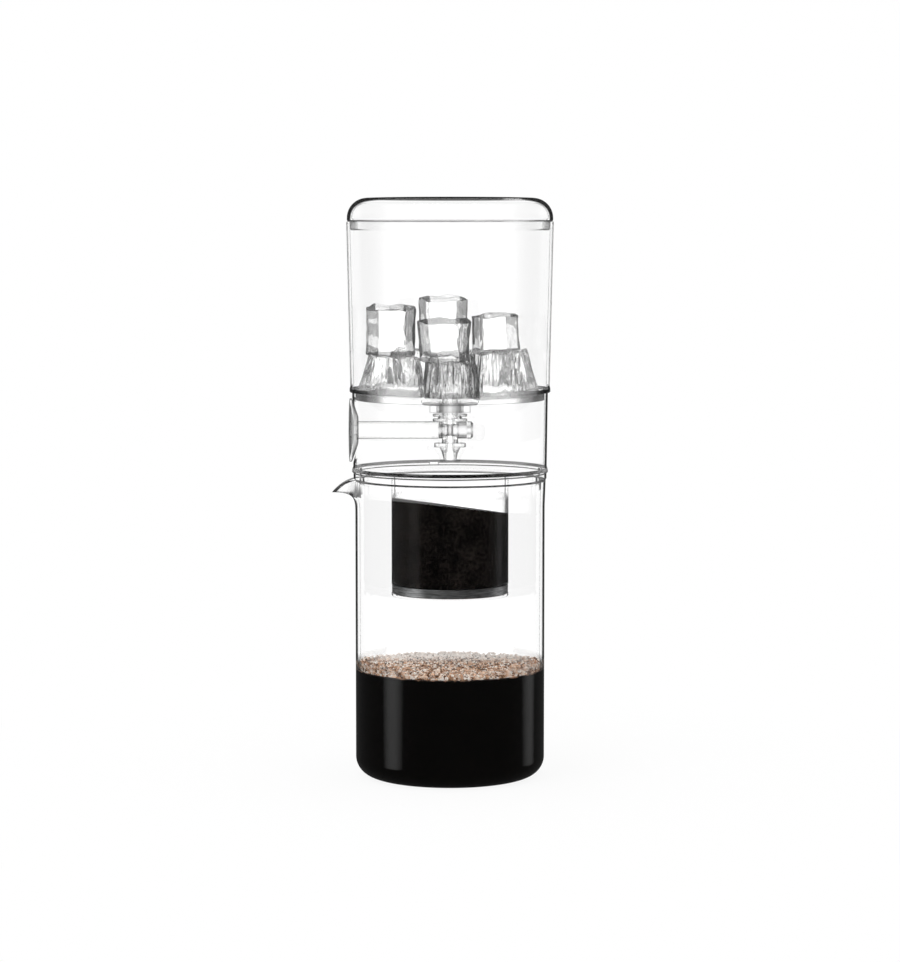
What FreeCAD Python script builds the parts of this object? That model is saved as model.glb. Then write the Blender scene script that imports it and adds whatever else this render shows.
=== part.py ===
"""Cold-drip coffee maker: glass carafe, hanging filter, drip chamber with a stopcock, water tank
and lid, stacked on one vertical axis.

Millimetres, +Z up. The origin is the centre of the carafe's flat base. The pouring lip and the
stopcock's knob both point to -X.
"""
import FreeCAD, Part
import math
import os

import Sketcher

from FreeCAD import Placement, Rotation, Vector

# Every size that can be set by itself, written once.
SIZES = {
    # glass carafe
    "carafe_height": 155.3,
    "carafe_diameter": 98.4,
    "carafe_wall": 2.2,
    "carafe_floor": 3.0,
    "carafe_corner": 10.0,
    "rim_flare": 0.5,
    "flare_height": 14.0,
    "spout_reach": 12.4,
    "spout_drop": 7.2,
    "spout_width": 25.0,
    "spout_depth": 8.8,
    "spout_tip_width": 4.4,
    "spout_tip_depth": 1.2,
    "spout_clear": 3.0,
    "lip_thinning": 0.5,
    "rim_bevel": 0.5,
    # what stands in the carafe and in the filter
    "coffee_level": 56.0,
    "foam_depth": 1.8,
    "fill_gap": 0.05,
    "grounds_depth": 44.6,
    "grounds_slope": 8.2,
    # filter: flange, tube, steel ring, mesh and retaining ring
    "flange_diameter": 100.2,
    "flange_height": 3.5,
    "flange_plate": 1.8,
    "flange_edge": 2.6,
    "mouth_skirt": 2.5,
    "mouth_gap": 0.5,
    "skirt_wall": 1.5,
    "locating_rib": 1.5,
    "tube_diameter": 60.8,
    "tube_length": 54.9,
    "tube_wall": 1.3,
    "tube_draft": 0.7,
    "spigot_wall": 1.1,
    "mesh_ring_height": 4.7,
    "mesh_ring_step": 0.2,
    "mesh_ring_wall": 1.0,
    "mesh_ledge": 1.6,
    "mesh_seat": 0.6,
    "mesh_thickness": 0.4,
    "mesh_hole": 4.4,
    "mesh_pitch": 6.0,
    "retainer_height": 1.3,
    "retainer_lip": 2.4,
    # drip chamber
    "chamber_height": 41.5,
    "chamber_top_diameter": 101.4,
    "chamber_low_diameter": 100.4,
    "chamber_wall": 1.5,
    "chamber_foot_diameter": 101.6,
    "chamber_foot_height": 1.4,
    "chamber_foot_taper": 1.6,
    "rib_gap": 0.4,
    "window_gap": 0.6,
    "vent_width": 4.8,
    "vent_height": 1.2,
    "vent_angle": 100.0,
    # water tank
    "tank_height": 88.1,
    "tank_rim_diameter": 107.0,
    "tank_foot_diameter": 103.2,
    "tank_wall": 1.6,
    "bead_step": 0.4,
    "bead_height": 2.0,
    "bead_taper": 1.1,
    "tank_floor": 2.2,
    "floor_rise": 1.5,
    "floor_fall": 3.8,
    "sump_diameter": 28.0,
    "sump_depth": 1.2,
    "nest_depth": 4.0,
    "nest_gap": 0.3,
    "nest_wall": 2.0,
    "boss_diameter": 29.8,
    "boss_height": 1.2,
    # lid
    "lid_height": 12.0,
    "lid_setback": 0.3,
    "lid_wall": 2.3,
    "lid_corner": 10.3,
    "lid_seam": 0.5,
    "plug_depth": 4.7,
    "plug_gap": 0.3,
    "plug_wall": 2.0,
    "plug_round": 1.2,
    # fitting through the tank's floor
    "shank_diameter": 7.8,
    "shank_bore": 3.2,
    "fitting_head_diameter": 13.0,
    "fitting_head_height": 1.4,
    "seal_thickness": 0.6,
    "washer_diameter": 28.8,
    "washer_thickness": 0.9,
    "nut_height": 4.0,
    "nut_hub_diameter": 15.0,
    "nut_wing_span": 21.4,
    "nut_wing_width": 5.2,
    "fit_gap": 0.05,
    # stopcock
    "neck_above": 0.9,
    "socket_depth": 2.4,
    "head_diameter": 17.8,
    "head_height": 3.6,
    "head_disc": 1.1,
    "head_waist": 12.4,
    "neck_diameter": 8.4,
    "axis_drop": 4.7,
    "barrel_diameter": 8.8,
    "barrel_left": 5.9,
    "barrel_right": 8.7,
    "barrel_bore": 6.4,
    "neck_below": 6.8,
    # nozzle
    "nozzle_flange_diameter": 16.4,
    "nozzle_flange_height": 2.0,
    "nozzle_root_diameter": 11.2,
    "nozzle_shoulder_diameter": 8.4,
    "nozzle_shoulder_drop": 2.8,
    "nozzle_tip_diameter": 6.5,
    "nozzle_tip_drop": 6.7,
    "nozzle_bore": 5.0,
    "nozzle_spigot_diameter": 5.4,
    "nozzle_spigot_height": 1.8,
    # turning key: plug, rings, rod, knob and cap
    "ring_groove_depth": 0.9,
    "ring_groove_width": 1.1,
    "ring_offset": 4.2,
    "ring_gap": 0.02,
    "plug_drive": 2.4,
    "plug_drive_depth": 3.2,
    "plug_stud_diameter": 3.6,
    "plug_stud_length": 2.4,
    "end_float": 0.3,
    "cap_diameter": 9.2,
    "cap_length": 3.0,
    "cap_round": 1.2,
    "rod_diameter": 9.0,
    "knob_diameter": 32.8,
    "knob_proud": 1.6,
    "knob_dish": 2.0,
    "knob_rim": 1.2,
    "knob_web": 2.4,
    "knob_boss_diameter": 9.6,
    "knob_drive": 5.0,
    "knob_drive_depth": 3.0,
    # ice
    "ice_width": 24.4,
    "ice_height": 21.0,
    "ice_chamfer": 2.2,
    "ice_gap": 0.2,
}

doc = FreeCAD.newDocument("ColdDripMaker")
sheet = doc.addObject("Spreadsheet::Sheet", "sizes")
for row, (alias, number) in enumerate(SIZES.items(), start=1):
    sheet.set(f"A{row}", alias)
    sheet.set(f"B{row}", str(number))
    sheet.setAlias(f"B{row}", alias)
doc.recompute()


class Size:
    """A length with its number and the sheet expression that gives it."""

    def __init__(self, value, text):
        self.value = float(value)
        self.text = text

    def __add__(self, other):
        other = as_size(other)
        return Size(self.value + other.value, f"({self.text} + {other.text})")

    def __sub__(self, other):
        other = as_size(other)
        return Size(self.value - other.value, f"({self.text} - {other.text})")

    def __mul__(self, other):
        other = as_size(other)
        return Size(self.value * other.value, f"({self.text} * {other.text})")

    def __truediv__(self, other):
        other = as_size(other)
        return Size(self.value / other.value, f"({self.text} / {other.text})")

    def __rsub__(self, other):
        return as_size(other) - self

    def __neg__(self):
        return Size(-self.value, f"(0 - {self.text})")


def as_size(number):
    return number if isinstance(number, Size) else Size(number, str(number))


class Sheet:
    """The sheet's sizes by name."""

    def __getattr__(self, alias):
        return Size(SIZES[alias], f"sizes.{alias}")


S = Sheet()


def bind(thing, prop, size):
    """Set a property of a document object and tie it to the sheet."""
    thing.setExpression(prop, as_size(size).text)


def new_body(label):
    body = doc.addObject("PartDesign::Body", label)
    body.Label = label
    return body


def new_sketch(body, name, role, offset=None):
    """A sketch on one of the body's own planes, or parallel to it."""
    plane = next(item for item in body.Origin.OriginFeatures if item.Role == role)
    sketch = body.newObject("Sketcher::SketchObject", name)
    sketch.AttachmentSupport = [(plane, "")]
    sketch.MapMode = "FlatFace"
    if offset is not None:
        sketch.AttachmentOffset = Placement(Vector(0, 0, offset.value), Rotation())
        bind(sketch, "AttachmentOffset.Base.z", offset)
    return sketch


def drive(sketch, kind, arguments, size):
    """Add one dimension to a sketch and tie it to the sheet."""
    index = sketch.addConstraint(Sketcher.Constraint(kind, *arguments, size.value))
    sketch.setExpression(f"Constraints[{index}]", size.text)


def pin_point(sketch, edge, end, across, up):
    """Hold one end of an edge at its distances from the sketch's origin."""
    for kind, axis, distance in (("DistanceX", -2, across), ("DistanceY", -1, up)):
        if not isinstance(distance, Size):
            sketch.addConstraint(Sketcher.Constraint("PointOnObject", edge, end, axis))
        elif distance.value < 0:
            drive(sketch, kind, (edge, end, -1, 1), -distance)
        else:
            drive(sketch, kind, (-1, 1, edge, end), distance)


def bend(corner, before, after, radius):
    """The arc of one radius that rounds a corner, from the edge before to the edge after."""
    back = (before - corner).normalize()
    ahead = (after - corner).normalize()
    half = back.getAngle(ahead) / 2
    start = corner + back * (radius / math.tan(half))
    end = corner + ahead * (radius / math.tan(half))
    centre = corner + (back + ahead).normalize() * (radius / math.sin(half))
    middle = centre + (corner - centre).normalize() * radius
    return start, middle, end


def outline(sketch, corners):
    """A closed outline through corners of (across, up) or, rounded, (across, up, radius).

    A bare 0 puts a corner on the axis.
    """
    points = [Vector(as_size(corner[0]).value, as_size(corner[1]).value, 0) for corner in corners]
    count = len(points)
    ends = list(points)
    starts = list(points)
    bends = {}
    for number, corner in enumerate(corners):
        if len(corner) == 3:
            after = points[(number + 1) % count]
            arc = bend(points[number], points[number - 1], after, corner[2].value)
            ends[number], bends[number], starts[number] = arc
    first = sketch.GeometryCount
    for number in range(count):
        line = Part.LineSegment(starts[number], ends[(number + 1) % count])
        sketch.addGeometry(line, False)
    for number, corner in enumerate(corners):
        edge = first + number
        edge_before = first + (number - 1) % count
        if number not in bends:
            sketch.addConstraint(Sketcher.Constraint("Coincident", edge_before, 2, edge, 1))
            pin_point(sketch, edge, 1, corner[0], corner[1])
            continue
        curve = Part.Arc(ends[number], bends[number], starts[number])
        arc = sketch.addGeometry(curve, False)
        forward = (sketch.getPoint(arc, 1) - ends[number]).Length < 1e-6
        arc_start, arc_end = (1, 2) if forward else (2, 1)
        peak = sketch.addGeometry(Part.Point(points[number]), True)
        sketch.addConstraint(Sketcher.Constraint("Tangent", edge_before, 2, arc, arc_start))
        sketch.addConstraint(Sketcher.Constraint("Tangent", arc, arc_end, edge, 1))
        sketch.addConstraint(Sketcher.Constraint("PointOnObject", peak, 1, edge_before))
        sketch.addConstraint(Sketcher.Constraint("PointOnObject", peak, 1, edge))
        drive(sketch, "Radius", (arc,), corner[2])
        pin_point(sketch, peak, 1, corner[0], corner[1])


def circle(sketch, up, radius):
    """A circle on the sketch's vertical axis."""
    centre = Vector(0, as_size(up).value, 0)
    edge = sketch.addGeometry(Part.Circle(centre, Vector(0, 0, 1), radius.value), False)
    sketch.addConstraint(Sketcher.Constraint("PointOnObject", edge, 3, -2))
    if isinstance(up, Size):
        drive(sketch, "DistanceY", (-1, 1, edge, 3), up)
    else:
        sketch.addConstraint(Sketcher.Constraint("PointOnObject", edge, 3, -1))
    drive(sketch, "Radius", (edge,), radius)


def feature(body, kind, name, sketch, **properties):
    """A PartDesign feature of a sketch, made the body's tip and computed."""
    made = body.newObject(f"PartDesign::{kind}", name)
    made.Profile = sketch
    for prop, setting in properties.items():
        if isinstance(setting, Size):
            bind(made, prop, setting)
        else:
            setattr(made, prop, setting)
    body.Tip = made
    doc.recompute()
    return made


def turned(body, name, corners, kind="Revolution", axis="V_Axis"):
    """Turn an outline in the XZ plane about Z, or about X with the axis H_Axis."""
    sketch = new_sketch(body, f"{name}_profile", "XZ_Plane")
    outline(sketch, corners)
    return feature(body, kind, name, sketch, ReferenceAxis=(sketch, [axis]), Angle=360.0)


# Heights of the stack, from the carafe's base up.
flange_top = S.carafe_height + S.flange_height
tank_foot = flange_top + S.chamber_height
tank_rim = tank_foot + S.tank_height
tube_end = S.carafe_height - S.tube_length

# Heights down from the boss under the tank's floor to the stopcock and its nozzle.
floor_edge = tank_foot + S.floor_rise
floor_low = floor_edge - S.floor_fall
sump_level = floor_low - S.sump_depth
boss_level = floor_low - S.tank_floor - S.boss_height
washer_level = boss_level - S.washer_thickness
nut_level = washer_level - S.nut_height
head_top = nut_level - S.neck_above
head_level = head_top - S.head_height
key_level = head_level - S.axis_drop
neck_end = key_level - S.neck_below
nozzle_level = neck_end - S.nozzle_flange_height

# Radii that more than one piece shares.
carafe_radius = S.carafe_diameter / 2
carafe_bore = carafe_radius - S.carafe_wall
mouth_radius = carafe_bore + S.rim_flare
inner_corner = S.carafe_corner - S.carafe_wall
tube_radius = S.tube_diameter / 2
tube_bore = tube_radius - S.tube_wall
tube_low_bore = tube_bore - S.tube_draft
chamber_top_radius = S.chamber_top_diameter / 2
chamber_low_radius = S.chamber_low_diameter / 2
chamber_mouth = chamber_top_radius - S.chamber_wall
chamber_low_bore = chamber_low_radius - S.chamber_wall
tank_rim_bore = S.tank_rim_diameter / 2 - S.tank_wall
shank_radius = S.shank_diameter / 2
shank_hole = shank_radius + S.fit_gap
waterway = S.shank_bore / 2
window_radius = S.knob_diameter / 2 + S.window_gap


# ---------------------------------------------------------------- carafe
# Blown glass jug: a straight wall, a soft corner at the base and a lip pulled out and down.
carafe = new_body("carafe")
turned(carafe, "jug", [
    (0, 0),
    (carafe_radius, 0, S.carafe_corner),
    (carafe_radius, S.carafe_height - S.flare_height),
    (carafe_radius + S.rim_flare, S.carafe_height - S.rim_bevel),
    (carafe_radius + S.rim_flare - S.rim_bevel, S.carafe_height),
    (0, S.carafe_height),
])

# Stations along the lip: how far out, how far its edge has dropped, its half width and its depth,
# each as a share of the lip's own reach, drop, widths and depths.
LIP_STATIONS = [
    {"out": -0.35, "drop": 0.06, "wide": 1.15, "deep": 1.08},
    {"out": 0.12, "drop": 0.08, "wide": 0.92, "deep": 0.97},
    {"out": 0.60, "drop": 0.42, "wide": 0.50, "deep": 0.52},
    {"out": 0.84, "drop": 0.73, "wide": 0.24, "deep": 0.24},
    {"out": 1.00, "drop": 1.00, "wide": 0.00, "deep": 0.00},
]


def lip_section(name, station, thickness, above):
    """A U across the lip, set in from the glass's outside by the thickness, open to above it."""
    out = carafe_radius + S.spout_reach * station["out"]
    edge_level = S.carafe_height - S.spout_drop * station["drop"]
    half_width = (S.spout_tip_width + (S.spout_width - S.spout_tip_width) * station["wide"]) / 2
    depth = S.spout_tip_depth + (S.spout_depth - S.spout_tip_depth) * station["deep"]
    half_width = half_width - thickness
    depth = depth - thickness
    radius = (half_width * half_width + depth * depth) / (depth * 2)
    left = Vector(-half_width.value, edge_level.value, 0)
    low = Vector(0, (edge_level - depth).value, 0)
    right = Vector(half_width.value, edge_level.value, 0)
    sketch = new_sketch(carafe, name, "YZ_Plane", -out)
    bowl = sketch.addGeometry(Part.Arc(left, low, right), False)
    forward = (sketch.getPoint(bowl, 1) - left).Length < 1e-6
    left_end, right_end = (1, 2) if forward else (2, 1)
    corners = [right, left]
    if above is not None:
        rise = Vector(0, above.value, 0)
        corners = [right, right + rise, left + rise, left]
    for start, end in zip(corners, corners[1:]):
        sketch.addGeometry(Part.LineSegment(start, end), False)
    last = len(corners) - 1
    for edge in range(1, last):
        sketch.addConstraint(Sketcher.Constraint("Coincident", edge, 2, edge + 1, 1))
    sketch.addConstraint(Sketcher.Constraint("Coincident", bowl, right_end, 1, 1))
    sketch.addConstraint(Sketcher.Constraint("Coincident", last, 2, bowl, left_end))
    pin_point(sketch, bowl, right_end, half_width, edge_level)
    pin_point(sketch, bowl, left_end, -half_width, edge_level)
    if above is not None:
        pin_point(sketch, 2, 1, half_width, edge_level + above)
        pin_point(sketch, 3, 1, -half_width, edge_level + above)
    drive(sketch, "Radius", (bowl,), radius)
    return sketch


def lip_loft(kind, name, thickness, above=None):
    sections = []
    for number, station in enumerate(LIP_STATIONS):
        thinned = thickness * (1 - S.lip_thinning * max(station["out"], 0.0))
        sections.append(lip_section(f"{name}_{number}", station, thinned, above))
    loft = carafe.newObject(f"PartDesign::{kind}", name)
    loft.Profile = sections[0]
    loft.Sections = sections[1:]
    carafe.Tip = loft
    doc.recompute()
    return loft


lip_loft("AdditiveLoft", "lip", as_size(0))
turned(carafe, "hollow", [
    (0, S.carafe_floor),
    (carafe_bore - inner_corner, S.carafe_floor),
    (carafe_bore - inner_corner * 0.3, S.carafe_floor + inner_corner * 0.3),
    (carafe_bore, S.carafe_floor + inner_corner),
    (carafe_bore, S.carafe_height - S.flare_height),
    (mouth_radius, S.carafe_height - S.rim_bevel),
    (mouth_radius + S.rim_bevel, S.carafe_height),
    (0, S.carafe_height),
], kind="Groove")
lip_loft("SubtractiveLoft", "lip_channel", S.carafe_wall * 0.8, S.spout_clear)


# ---------------------------------------------------------------- coffee and its foam
# What has dripped through fills the carafe to the wall; the foam floats on it.
fill_radius = carafe_bore - S.fill_gap
fill_low = S.carafe_floor + S.fill_gap
coffee = new_body("coffee")
turned(coffee, "pool", [
    (0, fill_low),
    (fill_radius - inner_corner, fill_low),
    (fill_radius - inner_corner * 0.3, fill_low + inner_corner * 0.3),
    (fill_radius, fill_low + inner_corner),
    (fill_radius, S.coffee_level),
    (0, S.coffee_level),
])

coffee_foam = new_body("coffee_foam")
turned(coffee_foam, "froth", [
    (0, S.coffee_level),
    (fill_radius, S.coffee_level),
    (fill_radius, S.coffee_level + S.foam_depth),
    (0, S.coffee_level + S.foam_depth),
])


# ---------------------------------------------------------------- filter basket
# One clear moulding: a flange that lies on the carafe's rim, a short skirt inside the mouth, a rib
# that centres the chamber above, and the hanging tube with a spigot at its lower end.
flange_radius = S.flange_diameter / 2
skirt_radius = mouth_radius - S.mouth_gap
rib_radius = chamber_low_bore - S.rib_gap
plate_level = S.carafe_height + S.flange_plate
ring_radius = tube_radius - S.mesh_ring_step
spigot_radius = ring_radius - S.mesh_ring_wall - S.fit_gap
spigot_bore = spigot_radius - S.spigot_wall
ring_level = tube_end - S.mesh_ring_height
mesh_level = ring_level + S.mesh_seat
filter_basket = new_body("filter_basket")
turned(filter_basket, "moulding", [
    (tube_low_bore, tube_end + S.spigot_wall),
    (spigot_bore, tube_end),
    (spigot_bore, mesh_level + S.mesh_thickness + S.fit_gap),
    (spigot_radius, mesh_level + S.mesh_thickness + S.fit_gap),
    (spigot_radius, tube_end),
    (tube_radius, tube_end),
    (tube_radius, S.carafe_height),
    (skirt_radius - S.skirt_wall, S.carafe_height),
    (skirt_radius - S.skirt_wall, S.carafe_height - S.mouth_skirt),
    (skirt_radius, S.carafe_height - S.mouth_skirt),
    (skirt_radius, S.carafe_height),
    (flange_radius, S.carafe_height),
    (flange_radius, flange_top),
    (rib_radius, flange_top),
    (rib_radius, flange_top + S.locating_rib),
    (rib_radius - S.skirt_wall, flange_top + S.locating_rib),
    (rib_radius - S.skirt_wall, plate_level),
    (tube_bore, plate_level),
])

# A bright steel band closes the tube's end; its inner ledge carries the mesh disc.
mesh_ring = new_body("mesh_ring")
turned(mesh_ring, "band", [
    (ring_radius - S.mesh_ring_wall - S.mesh_ledge, ring_level),
    (ring_radius, ring_level),
    (ring_radius, tube_end),
    (ring_radius - S.mesh_ring_wall, tube_end),
    (ring_radius - S.mesh_ring_wall, mesh_level),
    (ring_radius - S.mesh_ring_wall - S.mesh_ledge, mesh_level),
])

# Steel disc with a grid of square holes: it holds the grounds and lets the coffee through.
filter_mesh = new_body("filter_mesh")
mesh_radius = ring_radius - S.mesh_ring_wall - S.fit_gap
disc_sketch = new_sketch(filter_mesh, "disc_profile", "XY_Plane", mesh_level)
circle(disc_sketch, 0, mesh_radius)
feature(filter_mesh, "Pad", "disc", disc_sketch, Length=S.mesh_thickness)
open_radius = mesh_radius.value - SIZES["mesh_ledge"] - SIZES["mesh_hole"]
rows_each_side = int(open_radius / SIZES["mesh_pitch"])
for row in range(-rows_each_side, rows_each_side + 1):
    half_chord = math.sqrt(open_radius ** 2 - (row * SIZES["mesh_pitch"]) ** 2)
    holes_each_side = int(half_chord / SIZES["mesh_pitch"])
    side = "front" if row < 0 else "back"
    name = f"hole_{side}_{abs(row)}"
    hole_sketch = new_sketch(filter_mesh, f"{name}_profile", "XY_Plane", mesh_level)
    first_left = -S.mesh_pitch * holes_each_side - S.mesh_hole / 2
    low_edge = S.mesh_pitch * row - S.mesh_hole / 2
    outline(hole_sketch, [
        (first_left, low_edge),
        (first_left + S.mesh_hole, low_edge),
        (first_left + S.mesh_hole, low_edge + S.mesh_hole),
        (first_left, low_edge + S.mesh_hole),
    ])
    hole = feature(filter_mesh, "Pocket", name, hole_sketch, Length=S.mesh_thickness, Reversed=True)
    if holes_each_side:
        row_of_holes = filter_mesh.newObject("PartDesign::LinearPattern", f"{name}_row")
        row_of_holes.Originals = [hole]
        row_of_holes.Direction = (hole_sketch, ["H_Axis"])
        bind(row_of_holes, "Length", S.mesh_pitch * (2 * holes_each_side))
        row_of_holes.Occurrences = 2 * holes_each_side + 1
        filter_mesh.Tip = row_of_holes
        doc.recompute()

# Clear ring below the band that keeps it on the tube.
retaining_ring = new_body("retaining_ring")
turned(retaining_ring, "ring", [
    (tube_radius - S.retainer_lip, ring_level - S.retainer_height),
    (tube_radius, ring_level - S.retainer_height),
    (tube_radius, ring_level),
    (tube_radius - S.retainer_lip, ring_level),
])

# Ground coffee, packed on the mesh, its top sloping down to +X.
coffee_grounds = new_body("coffee_grounds")
grounds_low = mesh_level + S.mesh_thickness + S.fit_gap
grounds_top = grounds_low + S.grounds_depth + S.grounds_slope / 2
taper_length = S.carafe_height + S.flange_plate - tube_end - S.spigot_wall
grounds_rise = grounds_top - tube_end - S.spigot_wall
grounds_top_radius = tube_low_bore + S.tube_draft * grounds_rise / taper_length - S.fill_gap
turned(coffee_grounds, "cake", [
    (0, grounds_low),
    (spigot_bore - S.fill_gap, grounds_low),
    (spigot_bore - S.fill_gap, tube_end + S.fill_gap),
    (tube_low_bore - S.fill_gap, tube_end + S.spigot_wall + S.fill_gap),
    (grounds_top_radius, grounds_top),
    (0, grounds_top),
])
slope_sketch = new_sketch(coffee_grounds, "slope_profile", "XZ_Plane")
outline(slope_sketch, [
    (-tube_radius, grounds_top),
    (tube_radius, grounds_top - S.grounds_slope),
    (tube_radius, grounds_top + S.grounds_slope),
    (-tube_radius, grounds_top + S.grounds_slope),
])
feature(coffee_grounds, "Pocket", "slope", slope_sketch, Midplane=True, Length=S.tube_diameter)


# ---------------------------------------------------------------- drip chamber
# Clear skirt that stands on the filter's flange and carries the tank. A round window in its -X
# side lets the knob turn, and a small notch in the foot lets air out as the coffee drips.
drip_chamber = new_body("drip_chamber")
foot_radius = S.chamber_foot_diameter / 2
turned(drip_chamber, "skirt", [
    (chamber_low_bore, flange_top),
    (foot_radius, flange_top),
    (foot_radius, flange_top + S.chamber_foot_height),
    (chamber_low_radius, flange_top + S.chamber_foot_height + S.chamber_foot_taper),
    (chamber_top_radius, tank_foot),
    (chamber_mouth, tank_foot),
])
window_sketch = new_sketch(drip_chamber, "window_profile", "YZ_Plane")
circle(window_sketch, key_level, window_radius)
feature(drip_chamber, "Pocket", "window", window_sketch, Length=foot_radius)
vent = new_sketch(drip_chamber, "vent_profile", "XZ_Plane")
outline(vent, [
    (-S.vent_width / 2, flange_top),
    (S.vent_width / 2, flange_top),
    (S.vent_width / 2, flange_top + S.vent_height),
    (-S.vent_width / 2, flange_top + S.vent_height),
])
vent.AttachmentOffset = Placement(Vector(), Rotation(Vector(0, 1, 0), SIZES["vent_angle"] - 90))
bind(vent, "AttachmentOffset.Rotation.Angle", S.vent_angle - 90)
feature(drip_chamber, "Pocket", "vent", vent, Length=foot_radius)


# ---------------------------------------------------------------- water tank
# Tapered clear tank. The bead under its wall rests on the chamber, the ring below nests inside it,
# and the floor falls gently to a sump with the hole for the valve's fitting.
water_tank = new_body("water_tank")
tank_rim_radius = S.tank_rim_diameter / 2
tank_foot_radius = S.tank_foot_diameter / 2
bead_radius = tank_foot_radius + S.bead_step
bead_top = tank_foot + S.bead_height
tank_low_bore = tank_foot_radius - S.tank_wall
nest_radius = chamber_mouth - S.nest_gap
nest_bore = nest_radius - S.nest_wall
sump_radius = S.sump_diameter / 2
boss_radius = S.boss_diameter / 2
turned(water_tank, "shell", [
    (shank_hole, boss_level),
    (boss_radius, boss_level),
    (boss_radius, floor_low - S.tank_floor),
    (nest_bore, floor_edge - S.tank_floor),
    (nest_bore, tank_foot - S.nest_depth),
    (nest_radius, tank_foot - S.nest_depth),
    (nest_radius, tank_foot),
    (bead_radius, tank_foot),
    (bead_radius, bead_top),
    (tank_foot_radius, bead_top + S.bead_taper),
    (tank_rim_radius, tank_rim),
    (tank_rim_bore, tank_rim),
    (tank_low_bore, floor_edge),
    (sump_radius, floor_low),
    (sump_radius - S.sump_depth, sump_level),
    (shank_hole, sump_level),
])


# ---------------------------------------------------------------- lid
# Clear domed cap; its plug drops into the tank's rim and its edge rests on it.
lid = new_body("lid")
lid_radius = tank_rim_radius - S.lid_setback
lid_top = tank_rim + S.lid_height
plug_radius = tank_rim_bore - S.plug_gap
lid_bore = lid_radius - S.lid_wall
lid_ceiling = lid_top - S.lid_wall
lid_inner_corner = S.lid_corner - S.lid_wall
turned(lid, "dome", [
    (0, lid_ceiling),
    (lid_bore - lid_inner_corner, lid_ceiling),
    (lid_bore - lid_inner_corner * 0.3, lid_ceiling - lid_inner_corner * 0.3),
    (lid_bore, lid_ceiling - lid_inner_corner),
    (plug_radius - S.plug_wall, tank_rim),
    (plug_radius - S.plug_wall, tank_rim - S.plug_depth),
    (plug_radius - S.plug_round, tank_rim - S.plug_depth),
    (plug_radius, tank_rim - S.plug_depth + S.plug_round),
    (plug_radius, tank_rim),
    (lid_radius - S.lid_seam, tank_rim),
    (lid_radius, tank_rim + S.lid_seam),
    (lid_radius, lid_top, S.lid_corner),
    (0, lid_top),
])


# ---------------------------------------------------------------- fitting through the floor
# A hollow shank hangs by its head in the sump; a nut below clamps it, with a soft washer each side.
head_radius = S.fitting_head_diameter / 2
seal_top = sump_level + S.seal_thickness
shank_end = head_top - S.socket_depth
inlet_fitting = new_body("inlet_fitting")
turned(inlet_fitting, "fitting", [
    (waterway, shank_end),
    (shank_radius, shank_end),
    (shank_radius, seal_top),
    (head_radius, seal_top),
    (head_radius, seal_top + S.fitting_head_height),
    (waterway, seal_top + S.fitting_head_height),
])

inlet_seal = new_body("inlet_seal")
turned(inlet_seal, "washer", [
    (shank_hole, sump_level),
    (head_radius, sump_level),
    (head_radius, seal_top),
    (shank_hole, seal_top),
])

floor_washer = new_body("floor_washer")
turned(floor_washer, "washer", [
    (shank_hole, washer_level),
    (S.washer_diameter / 2, washer_level),
    (S.washer_diameter / 2, boss_level),
    (shank_hole, boss_level),
])

wing_nut = new_body("wing_nut")
hub_sketch = new_sketch(wing_nut, "hub_profile", "XY_Plane", nut_level)
circle(hub_sketch, 0, S.nut_hub_diameter / 2)
feature(wing_nut, "Pad", "hub", hub_sketch, Length=S.nut_height)
wing_sketch = new_sketch(wing_nut, "wing_profile", "XY_Plane", nut_level)
outline(wing_sketch, [
    (-S.nut_wing_span / 2, -S.nut_wing_width / 2, S.nut_wing_width * 0.3),
    (S.nut_wing_span / 2, -S.nut_wing_width / 2, S.nut_wing_width * 0.3),
    (S.nut_wing_span / 2, S.nut_wing_width / 2, S.nut_wing_width * 0.3),
    (-S.nut_wing_span / 2, S.nut_wing_width / 2, S.nut_wing_width * 0.3),
])
feature(wing_nut, "Pad", "wings", wing_sketch, Length=S.nut_height)
thread_sketch = new_sketch(wing_nut, "thread_profile", "XY_Plane", nut_level)
circle(thread_sketch, 0, shank_hole)
feature(wing_nut, "Pocket", "thread", thread_sketch, Length=S.nut_height, Reversed=True)


# ---------------------------------------------------------------- stopcock body
# One clear moulding: a waisted head that takes the shank, a neck, the cross barrel for the plug and
# a second neck that takes the nozzle.
valve_body = new_body("valve_body")
valve_head_radius = S.head_diameter / 2
neck_radius = S.neck_diameter / 2
barrel_radius = S.barrel_diameter / 2
barrel_bore = S.barrel_bore / 2
spigot_hole = S.nozzle_spigot_diameter / 2 + S.fit_gap
spigot_top = neck_end + S.nozzle_spigot_height + S.fit_gap
turned(valve_body, "column", [
    (0, neck_end),
    (neck_radius, neck_end),
    (neck_radius, head_level),
    (valve_head_radius, head_level),
    (valve_head_radius, head_level + S.head_disc),
    (S.head_waist / 2, head_level + S.head_disc),
    (S.head_waist / 2, head_top - S.head_disc),
    (valve_head_radius, head_top - S.head_disc),
    (valve_head_radius, head_top),
    (0, head_top),
])
barrel_sketch = new_sketch(valve_body, "barrel_profile", "YZ_Plane", -S.barrel_left)
circle(barrel_sketch, key_level, barrel_radius)
barrel_length = S.barrel_left + S.barrel_right
feature(valve_body, "Pad", "barrel", barrel_sketch, Length=barrel_length)
turned(valve_body, "waterway", [
    (0, neck_end),
    (spigot_hole, neck_end),
    (spigot_hole, spigot_top),
    (waterway, spigot_top),
    (waterway, shank_end - S.fit_gap),
    (shank_hole, shank_end - S.fit_gap),
    (shank_hole, head_top),
    (0, head_top),
], kind="Groove")
seat_sketch = new_sketch(valve_body, "plug_seat_profile", "YZ_Plane", -S.barrel_left)
circle(seat_sketch, key_level, barrel_bore)
feature(valve_body, "Pocket", "plug_seat", seat_sketch, Length=barrel_length, Reversed=True)

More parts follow.
